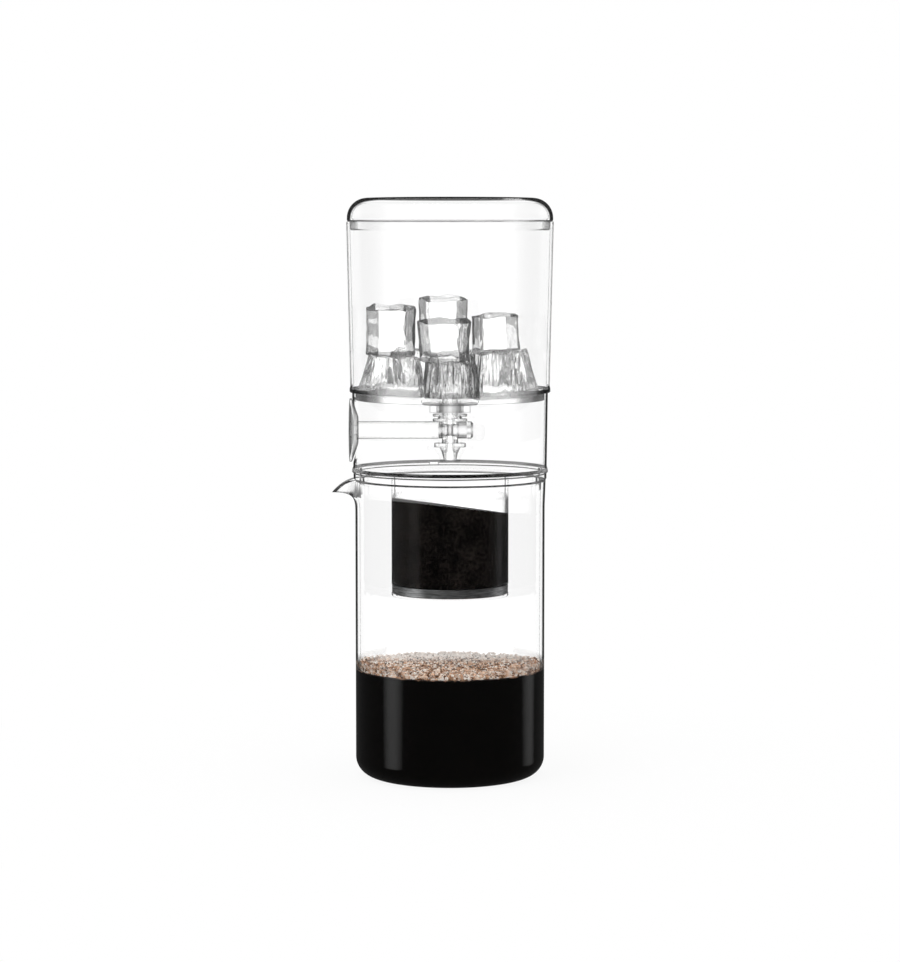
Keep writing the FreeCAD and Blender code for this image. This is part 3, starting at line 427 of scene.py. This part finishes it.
# ---------------------------------------------------------------- steel band and mesh
# A spun stainless band closes the tube and carries the woven disc that holds the grounds back;
# it is brushed round and round. A clear ring keeps it on from below.
brushed_steel, nodes, links, shader, place = new_finish("brushed_steel", {"Metallic": 1.0})
along = add(nodes, "ShaderNodeMapping", {"Scale": (1, 1, 14)})
grain = add(nodes, "ShaderNodeTexNoise", {"Scale": 160, "Detail": 4})
sheen = add(nodes, "ShaderNodeMapRange", {"To Min": 0.28, "To Max": 0.5})
greys = ramp(nodes, links, grain.outputs["Fac"], [
    (0.35, (0.36, 0.365, 0.37, 1)), (0.7, (0.93, 0.94, 0.95, 1))])
wired(links, (place.outputs["Object"], along.inputs["Vector"]),
      (along.outputs["Vector"], grain.inputs["Vector"]), (greys, shader.inputs["Base Color"]),
      (grain.outputs["Fac"], sheen.inputs["Value"]),
      (sheen.outputs["Result"], shader.inputs["Roughness"]))
band = turned([
    (27.6, 95.7), (30.2, 95.7, 0.3), (30.2, 100.4, 0.2), (29.2, 100.4), (29.2, 96.3), (27.6, 96.3)])
set_in_place("steel_band", band, "filter", brushed_steel, ["mesh_ring"])
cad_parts["filter_mesh"].data.materials.clear()
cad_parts["filter_mesh"].data.materials.append(brushed_steel)
ring = turned([(28.0, 94.4, 0.2), (30.4, 94.4, 0.3), (30.4, 95.7), (28.0, 95.7)])
set_in_place("keeper_ring", ring, "filter", clear_moulding, ["retaining_ring"])


# ---------------------------------------------------------------- coffee grounds
# Wet, coarse-ground coffee, nearly black, stands on the mesh and fills the tube to its wall. Its
# top is left on a slope.
wet_grounds, nodes, links, shader, place = new_finish(
    "wet_grounds", {"Roughness": 0.8, "Specular IOR Level": 0.06})
grit = add(nodes, "ShaderNodeTexNoise", {"Scale": 620, "Detail": 3})
patches = add(nodes, "ShaderNodeTexNoise", {"Scale": 70})
together = add(nodes, "ShaderNodeMath", operation="MULTIPLY")
rough = add(nodes, "ShaderNodeBump", {"Distance": 0.0004, "Strength": 0.7})
browns = ramp(nodes, links, together.outputs[0], [
    (0.18, (0.002, 0.0014, 0.0011, 1)), (0.42, (0.017, 0.013, 0.011, 1))])
wired(links, (place.outputs["Object"], grit.inputs["Vector"]),
      (place.outputs["Object"], patches.inputs["Vector"]),
      (grit.outputs["Fac"], together.inputs[0]), (patches.outputs["Fac"], together.inputs[1]),
      (browns, shader.inputs["Base Color"]), (grit.outputs["Fac"], rough.inputs["Height"]),
      (rough.outputs["Normal"], shader.inputs["Normal"]))
GROUNDS_MIDDLE = 141.2
cake = turned([(0, 96.8), (28.0, 96.8), (28.0, 100.4), (28.42, 101.6), (29.05, 150), (0, 150)],
              steps=160)
ringed(cake, range(136, 150))
slope = Vector((8.2, 5.6, 60.8)).normalized()
cut = bmesh.ops.bisect_plane(
    cake, geom=cake.verts[:] + cake.edges[:] + cake.faces[:], dist=1e-7,
    plane_co=(0, 0, GROUNDS_MIDDLE * MM), plane_no=slope, clear_outer=True)
edge_loop = [item for item in cut["geom_cut"] if isinstance(item, bmesh.types.BMEdge)]
bmesh.ops.contextual_create(cake, geom=edge_loop)
set_in_place("grounds_cake", cake, "filter", wet_grounds, ["coffee_grounds"])


# ---------------------------------------------------------------- drip chamber
# A clear skirt moulded with a slight taper, with the round window for the knob and a small air
# notch in its foot. The tank stands on its upper edge.
KEY_HEIGHT, WINDOW_RADIUS = 180.5, 17.0
# Painted shade: these finishes darken the skirt towards its rims, and foot_shade paints a dark line
# round its foot.
clear_wall = clear_finish(
    "clear_wall", PLASTIC, EDGE_DARK, THIN_WALL, LEVEL_FACES, ripple=0.003, ripple_size=18)
foot_shade = clear_finish(
    "foot_shade", PLASTIC, [(0.0, 0.01), (0.25, 0.04), (0.50, 0.12), (0.8, 0.30), (1.0, 0.1)],
    [(0.0, 1.0), (1.0, 0.95)], ripple=0.01, ripple_size=3)
wall_inside = clear_finish(
    "wall_inside", PLASTIC, INNER_DARK, THIN_INNER, LEVEL_FACES, ripple=0.003, ripple_size=18)


def cut_through(shape, cutter):
    """Take one closed shape out of another."""
    holders = []
    for part in (shape, cutter):
        mesh = bpy.data.meshes.new("opening")
        part.to_mesh(mesh)
        part.free()
        holders.append(bpy.data.objects.new("opening", mesh))
        bpy.context.scene.collection.objects.link(holders[-1])
    opening = holders[0].modifiers.new("opening", "BOOLEAN")
    opening.operation = "DIFFERENCE"
    opening.object = holders[1]
    result = bmesh.new()
    result.from_object(holders[0], bpy.context.evaluated_depsgraph_get())
    for holder in holders:
        bpy.data.objects.remove(holder, do_unlink=True)
    return result


def from_key(face):
    """How far a face's middle lies from the axis of the turning key, in millimetres."""
    middle = face.center / MM
    return Vector((middle.y, middle.z - KEY_HEIGHT)).length


skirt = turned([
    (48.7, 158.84), (50.8, 158.84, 0.3), (50.8, 159.5), (50.8, 160.2, 0.5), (50.2, 161.8, 0.5),
    (50.7, 200.26, 0.2), (49.2, 200.26, 0.2)])
knob_window = bmesh.new()
bmesh.ops.create_cone(
    knob_window, cap_ends=True, segments=96, radius1=WINDOW_RADIUS * MM,
    radius2=WINDOW_RADIUS * MM, depth=0.03,
    matrix=(Matrix.Translation((-0.05, 0, KEY_HEIGHT * MM))
            @ Matrix.Rotation(math.pi / 2, 4, "Y")))
air_notch = bmesh.new()
bmesh.ops.create_cube(air_notch, size=1.0, matrix=(
    Matrix.Rotation(math.radians(100), 4, "Z") @ Matrix.Translation((0.05, 0, 0.1588))
    @ Matrix.Diagonal((0.01, 0.0048, 0.0024, 1))))
for opening in (knob_window, air_notch):
    skirt = cut_through(skirt, opening)
skirt_piece = set_in_place("chamber_skirt", skirt, "tank_unit", clear_wall,
                           ["drip_chamber"])
give(skirt_piece, wall_inside, lambda out, height: out < 49.6 and 162 < height < 200)
give(skirt_piece, foot_shade, lambda out, height: out > 50.3 and 159.5 < height < 161.2)
skirt_piece.data.materials.append(drawn_lip)
# the window's edge takes the lip's finish, which paints it dark where it leans away
WINDOW_EDGE = 3
for face in skirt_piece.data.polygons:
    on_the_edge = abs(from_key(face) - WINDOW_RADIUS) < 0.1 and abs(face.normal.x) < 0.3
    if face.center.x < 0 and on_the_edge:
        face.material_index = WINDOW_EDGE


# ---------------------------------------------------------------- water tank
# Clear tapered tank. Its wall ends in a bead over a seat ring that nests in the chamber, and the
# floor falls to a sump in the middle.
# Painted shade: these finishes darken the wall towards its rims and paint dark lines at the seat,
# the bead and the rim, by how far each face leans from the eye.
tank_wall = clear_finish(
    "tank_wall", PLASTIC, [(0.0, 1.0), (0.83, 0.99), (0.90, 0.62), (1.0, 0.40)],
    [(0.0, 0.06), (0.80, 0.07), (0.90, 1.0)], LEVEL_FACES, ripple=0.003, ripple_size=18)
seat_shade = clear_finish(
    "seat_shade", PLASTIC, [(0.0, 1.0), (0.24, 0.97), (0.36, 0.60), (0.55, 0.12), (1.0, 0.0)],
    [(0.0, 0.1), (0.22, 0.15), (0.36, 1.0)], (0.90, 0.985, 0.985, 0.10))
bead_shade = clear_finish(
    "bead_shade", PLASTIC, [(0.0, 0.97), (0.16, 0.95), (0.32, 0.50), (0.50, 0.06), (1.0, 0.0)],
    [(0.0, 0.3), (0.15, 0.35), (0.35, 1.0)], ripple=0.01, ripple_size=3)
tank = turned([
    (3.95, 194.6), (14.9, 194.6, 0.2), (14.9, 195.7), (46.9, 199.6, 0.4), (46.9, 196.3, 0.3),
    (48.9, 196.3, 0.3), (48.9, 200.3), (52.0, 200.3, 0.6), (52.0, 202.3, 0.5), (51.6, 203.4, 0.5),
    (53.48, 288.36, 0.4), (51.9, 288.36, 0.4), (50.0, 201.8, 0.8), (14.0, 198.0, 0.4),
    (12.8, 196.8, 0.3), (3.95, 196.8)])
tank_piece = set_in_place("tank_shell", tank, "tank_unit", clear_wall,
                          ["water_tank"])
give(tank_piece, wall_inside, lambda out, height: out < 51.8 and 204 < height < 288)
give(tank_piece, tank_wall, lambda out, height: out > 51.8 and 204 < height)
give(tank_piece, seat_shade, lambda out, height: height < 200.4 and out > 47.5)
give(tank_piece, rim_shade, lambda out, height: height > 288.3)
give(tank_piece, bead_shade, lambda out, height: 200.6 < height < 202.3 and out > 51.3)


# ---------------------------------------------------------------- fitting through the floor
# A hollow shank hangs by its head in the sump, with a soft washer above and below the floor, and
# a frosted nut with two wings draws it tight.
# Painted shade: these finishes darken the small clear and frosted parts towards their rims.
frosted = clear_finish(
    "frosted", PLASTIC, [(0.0, 0.97), (0.5, 0.90), (0.85, 0.7), (1.0, 0.4)],
    [(0.0, 0.9), (1.0, 1.0)], roughness=0.3, ripple=0.05, ripple_size=1.5)
soft_washer = clear_finish(
    "soft_washer", 1.41, [(0.0, 0.97), (0.6, 0.9), (1.0, 0.6)],
    [(0.0, 0.6), (1.0, 0.9)], roughness=0.25, ripple=0.02, ripple_size=1.0)
clear_small = clear_finish(
    "clear_small", PLASTIC, [(0.0, 1.0), (0.45, 0.97), (0.62, 0.45), (0.76, 0.06), (1.0, 0.0)],
    [(0.0, 0.45), (0.35, 0.5), (0.60, 1.0)], (0.92, 0.99, 0.8, 0.5), ripple=0.01, ripple_size=6)


def set_copy(name, node, body, finish):
    """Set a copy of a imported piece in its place, with its loose triangles joined."""
    shape = bmesh.new()
    shape.from_mesh(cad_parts[node].data)
    bmesh.ops.remove_doubles(shape, verts=shape.verts[:], dist=2e-6)
    return set_in_place(name, shape, body, finish, [node])


set_copy("fitting", "inlet_fitting", "tank_unit", clear_small)
set_copy("head_seal", "inlet_seal", "tank_unit", soft_washer)
set_copy("washer_below", "floor_washer", "tank_unit", soft_washer)
set_copy("winged_nut", "wing_nut", "tank_unit", frosted)


# ---------------------------------------------------------------- stopcock and nozzle
# The clear body with its cross barrel hangs on the shank; the flanged nozzle below lets the drops
# fall on the grounds.
set_copy("stopcock_body", "valve_body", "tank_unit", clear_small)
set_copy("nozzle", "drip_nozzle", "tank_unit", clear_small)


# ---------------------------------------------------------------- turning key
# A frosted plug with two soft rings turns in the barrel. A clear rod carries it out to the dished
# knob in the chamber's window, and a clear cap holds it on the other side.
# Painted shade: these finishes darken the rod and the knob towards their rims, knob_rim most.
clear_rod = clear_finish(
    "clear_rod", PLASTIC, [(0.0, 1.0), (0.50, 0.99), (0.62, 0.45), (0.76, 0.10), (1.0, 0.02)],
    [(0.0, 0.25), (0.40, 0.25), (0.62, 1.0)], ripple=0.01, ripple_size=6)
knob_clear = clear_finish(
    "knob_clear", PLASTIC, [(0.0, 1.0), (0.70, 0.97), (0.80, 0.30), (0.88, 0.02), (1.0, 0.0)],
    [(0.0, 0.50), (0.70, 0.50), (0.80, 1.0)], ripple=0.02, ripple_size=4)
knob_rim = clear_finish(
    "knob_rim", PLASTIC, [(0.0, 1.0), (0.70, 0.97), (0.85, 0.30), (1.0, 0.10)],
    [(0.0, 0.05), (0.60, 0.05), (0.85, 0.8)])
set_copy("plug", "valve_plug", "valve_key", frosted)
set_copy("plug_rings", "plug_seals", "valve_key", soft_washer)
set_copy("rod", "drive_rod", "valve_key", clear_rod)
knob_piece = set_copy("knob", "control_knob", "valve_key", knob_clear)
knob_piece.data.materials.append(knob_rim)
KNOB_FACE, KNOB_RIM = 15.3, 1
for face in knob_piece.data.polygons:
    if from_key(face) > KNOB_FACE:
        face.material_index = KNOB_RIM
set_copy("cap", "end_cap", "valve_key", clear_small)


# ---------------------------------------------------------------- ice
# Blocks from one tray, melting: soft edges and faintly waved faces. The upper ones are still
# square, the lower ones are fluted where the melt runs down them.
ICE, LOWER_BLOCKS = 1.31, 6
# Painted shade: the ice's grey sides and dark edges are painted into its colour by how far each face
# leans from the eye, in streaks where the waves tilt it.
ICE_SHADE = [(0.0, 1.0), (0.09, 0.99), (0.14, 0.60), (0.22, 0.78), (0.50, 0.64), (0.75, 0.46),
             (1.0, 0.16)]
FLUTED_ICE_SHADE = [(0.0, 1.0), (0.12, 1.0), (0.20, 0.82), (0.36, 0.50), (0.60, 0.15), (1.0, 0.02)]
CHANNELLED_ICE_SHADE = [(0.0, 0.92), (0.08, 0.78), (0.16, 0.56), (0.32, 0.36), (0.60, 0.15), (1.0, 0.02)]
ICE_TOPS = (0.12, 0.45, 0.90, 0.62)
ice_clear = clear_finish(
    "ice_clear", ICE, ICE_SHADE, [(0.0, 1.0), (1.0, 1.0)], ICE_TOPS, ripple=0.12,
    ripple_size=3.5, ripple_run=2.0)
ice_fluted = clear_finish(
    "ice_fluted", ICE, FLUTED_ICE_SHADE, [(0.0, 0.8), (0.2, 0.9), (0.4, 1.0)], ICE_TOPS,
    ripple=1.5, ripple_size=2.3, ripple_run=8.0)
ice_channelled = clear_finish(
    "ice_channelled", ICE, CHANNELLED_ICE_SHADE, [(0.0, 0.95), (0.3, 1.0), (1.0, 1.0)], ICE_TOPS,
    ripple=1.5, ripple_size=2.3, ripple_run=8.0)
BLOCKS = [
    # where its middle lies, its size, how far it is turned, nods to the front and leans aside,
    # how much its edges are cut back, how fluted it is and how much its foot spreads
    ((1.0, -31.5, 208.4), (25.0, 23.0, 17.0), 2, 4, 0, 3.0, 1.5, 0.08),
    ((28.0, -13.0, 210.5), (29.0, 24.0, 23.0), -4, 4, -4, 3.5, 0.75, 0.16),
    ((20.3, 26.0, 211.0), (24.4, 24.4, 21.0), 49, -4, 0, 3.0, 0.7, 0.08),
    ((-18.5, 27.4, 211.0), (24.4, 24.4, 21.0), 34, -4, 0, 3.0, 0.7, 0.08),
    ((-29.2, -10.5, 209.8), (30.0, 24.4, 19.5), 3, 4, 4, 3.5, 0.8, 0.16),
    ((0.0, 1.0, 209.5), (24.4, 22.0, 21.0), -18, 0, 0, 3.0, 0.8, 0.06),
    ((-30.5, -6.0, 232.2), (25.6, 22.0, 24.6), 6, 7, 1, 5.5, 0.0, 0.0),
    ((-3.6, 10.0, 235.0), (25.4, 22.0, 28.0), -5, 7, 0, 5.0, 0.12, 0.0),
    ((-3.0, -27.0, 228.0), (26.4, 21.0, 20.6), 3, 7, 0, 5.5, 0.05, -0.05),
    ((23.6, 3.0, 230.6), (24.2, 22.0, 19.5), -8, 6, -2, 5.0, 0.0, 0.02),
]
UPRIGHT_EDGES = [Vector((x, y, 0)) for x in (1, -1) for y in (1, -1)]
ice_heap = bmesh.new()
for number, (spot, size, turn, nod, lean, cut, fluted, spread) in enumerate(BLOCKS):
    cube = bmesh.new()
    bmesh.ops.create_cube(cube, size=2.0)
    bmesh.ops.subdivide_edges(cube, edges=cube.edges[:], cuts=23, use_grid_fill=True)
    half = Vector(size) / 2
    away = Vector((cut * 1.5, cut, 0)).normalized()
    reach = away.dot(Vector((half.x - cut, half.y, 0)))
    own = Vector((number * 9.1, 0, 0))
    for vert in cube.verts:
        point = Vector((vert.co.x * half.x, vert.co.y * half.y, vert.co.z * half.z))
        for side in UPRIGHT_EDGES:
            plane = away * side
            beyond = point.dot(plane) - reach
            if beyond > 0:
                point -= plane * beyond
        level = point.z / half.z
        swell = 1 - spread * level - 0.03 * (1 - level * level) * (1 - fluted)
        flute = noise.noise(Vector((point.x / 2.4, point.y / 2.4, point.z / 26)) + own)
        jag = noise.noise(Vector((point.x / 3.5, point.y / 3.5, point.z / 5)) + own)
        flat = Vector((point.x, point.y, 0))
        outwards = flat.normalized() * (fluted * 1.1 * flute + 0.35 * jag)
        wave = noise.noise(Vector((point.x / 7, point.y / 7, 0)) + own)
        crown = max(0.0, level) ** 6 * (1.5 * wave - 0.4)
        vert.co = (flat * swell + outwards + Vector((0, 0, point.z + crown))) * MM
    bmesh.ops.smooth_vert(
        cube, verts=cube.verts[:], factor=0.5, use_axis_x=True, use_axis_y=True,
        use_axis_z=True)
    attitude = (Matrix.Translation(Vector(spot) * MM)
                @ Matrix.Rotation(math.radians(nod), 4, "X")
                @ Matrix.Rotation(math.radians(lean), 4, "Y")
                @ Matrix.Rotation(math.radians(turn), 4, "Z"))
    bmesh.ops.transform(cube, matrix=attitude, verts=cube.verts[:])
    loose = bpy.data.meshes.new("ice_block")
    cube.to_mesh(loose)
    cube.free()
    ice_heap.from_mesh(loose)
bmesh.ops.recalc_face_normals(ice_heap, faces=ice_heap.faces[:])
heap = set_in_place("ice_heap", ice_heap, "tank_unit", ice_clear, ["ice_cubes"],
                    even=False)
FLUTED, CHANNELLED = 1, 2
heap.data.materials.append(ice_fluted)
heap.data.materials.append(ice_channelled)
block_faces = len(heap.data.polygons) // len(BLOCKS)
for face in heap.data.polygons[:LOWER_BLOCKS * block_faces]:
    face.material_index = CHANNELLED if face.index < block_faces else FLUTED


# ---------------------------------------------------------------- lid
# A clear cap moulded with a flat top and a deep soft corner. Its flange lies on the tank's rim,
# and the plug under it drops inside.
FLANGE, CORNER_FOOT, TOP = 288.3, 299.7, 300.39
# Painted shade: these finishes paint the lid's dark top line, its dark corners, the seam line and
# the plug's edge into its colour, by how far each face leans from the eye.
clear_dome = clear_finish(
    "clear_dome", PLASTIC, [(0.0, 1.0), (0.66, 0.97), (0.71, 0.20), (0.75, 0.01), (1.0, 0.0)],
    [(0.0, 0.04), (0.72, 0.04), (0.77, 1.0)], ripple=0.003, ripple_size=18)
dome_top = clear_finish(
    "dome_top", PLASTIC, [(0.0, 1.0), (0.92, 1.0), (0.965, 0.05), (1.0, 0.0)],
    [(0.0, 0.02), (0.92, 0.02), (0.96, 1.0)], ripple=0.003, ripple_size=18)
dome_edge = clear_finish(
    "dome_edge", PLASTIC, [(0.0, 1.0), (0.42, 0.97), (0.55, 0.20), (0.62, 0.01), (1.0, 0.0)],
    [(0.0, 0.04), (0.42, 0.04), (0.60, 1.0)], ripple=0.003, ripple_size=18)
seam_shade = clear_finish("seam_shade", PLASTIC, [(0.0, 0.55), (0.6, 0.5), (1.0, 0.1)])
plug_shade = clear_finish(
    "plug_shade", PLASTIC, [(0.0, 1.0), (0.60, 0.97), (0.70, 0.45), (1.0, 0.25)],
    [(0.0, 0.08), (0.60, 0.08), (0.70, 1.0)])
dome = turned([
    (0, 298.1), (50.9, 298.1, 8.0), (50.9, 290.1), (49.6, 288.4), (49.6, 283.7, 0.3),
    (51.6, 283.7, 1.2), (51.6, 288.44), (52.7, 288.44), (53.2, 288.9), (53.2, 300.4, 10.3),
    (39.6, 300.4), (0, 300.4)])
dome_piece = set_in_place("domed_lid", dome, "lid", clear_dome, ["lid"])


def inside_dome(out, height):
    """Whether a place is on the plug, the flat top or the hollow side of the soft corner."""
    from_corner = Vector((max(0.0, out - 42.9), max(0.0, height - 290.1))).length
    return height < FLANGE or height > TOP or from_corner < 9.2


give(dome_piece, wall_inside, inside_dome)
give(dome_piece, dome_edge, lambda out, height: height > CORNER_FOOT)
give(dome_piece, dome_top, lambda out, height: height > TOP and out < 39.6)
give(dome_piece, seam_shade, lambda out, height: FLANGE < height < 289 and out > 51.5)
give(dome_piece, plug_shade, lambda out, height: height < FLANGE and out > 51.2)


# ---------------------------------------------------------------- studio
# A bright white room round a pale table. Shiny faces see it dark below their own level, with two
# tall soft windows; what looks up into it sees white.
floor_mesh = bmesh.new()
bmesh.ops.create_grid(floor_mesh, x_segments=1, y_segments=1, size=4.0)
table = bpy.data.meshes.new("table")
floor_mesh.to_mesh(table)
floor_mesh.free()
floor = bpy.data.objects.new("table", table)
floor.location = (0, 0, -0.0002)
bpy.context.scene.collection.objects.link(floor)

# The camera and clear pieces see the table shine by itself, a little darker round the maker;
# mirrored rays go through it, and all others see it plain and pale.
pale, nodes, links, shader, place = new_finish(
    "pale_table", {"Base Color": (0.9, 0.9, 0.9, 1), "Roughness": 0.9})
path = add(nodes, "ShaderNodeLightPath")
seen = add(nodes, "ShaderNodeMath", operation="MAXIMUM")
away = add(nodes, "ShaderNodeVectorMath", operation="LENGTH")
fade = add(nodes, "ShaderNodeMapRange", {
    "From Min": 0.05, "From Max": 0.30, "To Min": 0.90, "To Max": 1.0})
fade.interpolation_type = "SMOOTHSTEP"
share = add(nodes, "ShaderNodeMath", operation="MULTIPLY")
lift = add(nodes, "ShaderNodeMath", {1: 0.3, 2: 1.0}, "MULTIPLY_ADD")
glow = add(nodes, "ShaderNodeEmission")
bright = add(nodes, "ShaderNodeMixShader")
mirrored = add(nodes, "ShaderNodeMath", {1: 1.0}, "MINIMUM")
nothing = add(nodes, "ShaderNodeBsdfTransparent")
final = add(nodes, "ShaderNodeMixShader")
wired(links, (path.outputs["Is Camera Ray"], seen.inputs[0]),
      (path.outputs["Is Transmission Ray"], seen.inputs[1]),
      (place.outputs["Object"], away.inputs[0]), (away.outputs["Value"], fade.inputs["Value"]),
      (seen.outputs[0], share.inputs[0]), (fade.outputs["Result"], share.inputs[1]),
      (path.outputs["Is Transmission Ray"], lift.inputs[0]),
      (lift.outputs[0], glow.inputs["Strength"]), (share.outputs[0], bright.inputs["Fac"]),
      (shader.outputs["BSDF"], bright.inputs[1]), (glow.outputs["Emission"], bright.inputs[2]),
      (path.outputs["Glossy Depth"], mirrored.inputs[0]),
      (mirrored.outputs[0], final.inputs["Fac"]), (bright.outputs["Shader"], final.inputs[1]),
      (nothing.outputs["BSDF"], final.inputs[2]),
      (final.outputs["Shader"], nodes["Material Output"].inputs["Surface"]))
table.materials.append(pale)

world = bpy.data.worlds.new("studio")
bpy.context.scene.world = world
world.use_nodes = True
room = world.node_tree.nodes
wires = world.node_tree.links
background = room["Background"]
path = add(room, "ShaderNodeLightPath")
place = add(room, "ShaderNodeTexCoord")
split = add(room, "ShaderNodeSeparateXYZ")
wires.new(place.outputs["Generated"], split.inputs["Vector"])


def ranged(value, low, high, to_low, to_high):
    """A smooth step of a value from one level to another."""
    step = add(room, "ShaderNodeMapRange", {
        "From Min": low, "From Max": high, "To Min": to_low, "To Max": to_high})
    step.interpolation_type = "SMOOTHSTEP"
    wires.new(value, step.inputs["Value"])
    return step.outputs["Result"]


def combined(operation, first, second):
    """The result of an operation on two values, each of them a number or an output."""
    sum_node = add(room, "ShaderNodeMath", operation=operation)
    for socket, value in zip(sum_node.inputs, (first, second)):
        if isinstance(value, float):
            socket.default_value = value
        else:
            wires.new(value, socket)
    return sum_node.outputs[0]


def window(azimuth, outer):
    """A tall soft window, so many degrees wide to each side of its azimuth from -Y towards -X."""
    angle = math.radians(azimuth)
    dot = add(room, "ShaderNodeVectorMath", {1: (-math.sin(angle), -math.cos(angle), 0)},
              "DOT_PRODUCT")
    wires.new(place.outputs["Generated"], dot.inputs[0])
    return ranged(dot.outputs["Value"], math.cos(math.radians(outer)), 1.0, 0.0, 1.0)


# what mirrored rays see, what rays through clear pieces see, and white for all the others
horizon = ranged(split.outputs["Z"], 0.66, 0.88, 0.05, 0.8)
overhead = ranged(split.outputs["Z"], 0.90, 0.98, 1.0, 0.5)
windows = combined("ADD", window(74, 20), combined("MULTIPLY", window(248, 19), 0.58))
shine = combined("MAXIMUM", combined("MULTIPLY", horizon, overhead), windows)
flags = combined("ABSOLUTE", combined("SINE", combined("MULTIPLY", combined(
    "ARCTAN2", split.outputs["X"], split.outputs["Y"]), 4.0), 0.0), 0.0)
through = combined("MULTIPLY", ranged(split.outputs["Z"], 0.40, 0.75, 1.36, 0.5),
                   ranged(flags, 0.80, 0.98, 1.0, 0.35))
sharp = combined("SUBTRACT", 1.0, combined("MINIMUM", path.outputs["Diffuse Depth"], 1.0))
mirrored = combined("MULTIPLY", sharp, combined("MINIMUM", path.outputs["Glossy Depth"], 1.0))
passed = combined("MULTIPLY", combined("MULTIPLY", path.outputs["Is Transmission Ray"], sharp),
                  combined("SUBTRACT", 1.0, mirrored))
level = combined("ADD", combined("MULTIPLY", mirrored, shine),
                 combined("MULTIPLY", passed, through))
other = combined("SUBTRACT", 1.0, combined("ADD", mirrored, passed))
level = combined("ADD", level, combined("MAXIMUM", other, 0.0))
wires.new(level, background.inputs["Strength"])
background.inputs["Color"].default_value = (1, 1, 1, 1)

key = bpy.data.lights.new("key", "AREA")
key.shape = "RECTANGLE"
key.size = 0.8
key.size_y = 0.8
key.energy = 5.0
key_lamp = bpy.data.objects.new("key", key)
key_lamp.matrix_world = (Matrix.Translation((-0.7, -0.8, 1.1))
                         @ Vector((-0.7, -0.8, 0.95)).to_track_quat("Z", "Y").to_matrix().to_4x4())
key_lamp.visible_transmission = False
bpy.context.scene.collection.objects.link(key_lamp)

camera = bpy.data.cameras.new("camera")
camera.lens = 107.05
camera.sensor_width = 36.0
camera.clip_start = 0.05
camera.clip_end = 20
camera_object = bpy.data.objects.new("camera", camera)
camera_object.location = (0, -1.482, 0.2788)
camera_object.rotation_euler = (math.radians(85.184), 0, 0)
bpy.context.scene.collection.objects.link(camera_object)
bpy.context.scene.camera = camera_object

bpy.context.scene.cycles.max_bounces = 40
bpy.context.scene.cycles.transmission_bounces = 40
bpy.context.scene.cycles.transparent_max_bounces = 24
bpy.context.scene.cycles.glossy_bounces = 12
bpy.context.scene.cycles.caustics_reflective = True
bpy.context.scene.cycles.caustics_refractive = True
bpy.context.scene.view_settings.view_transform = "Standard"
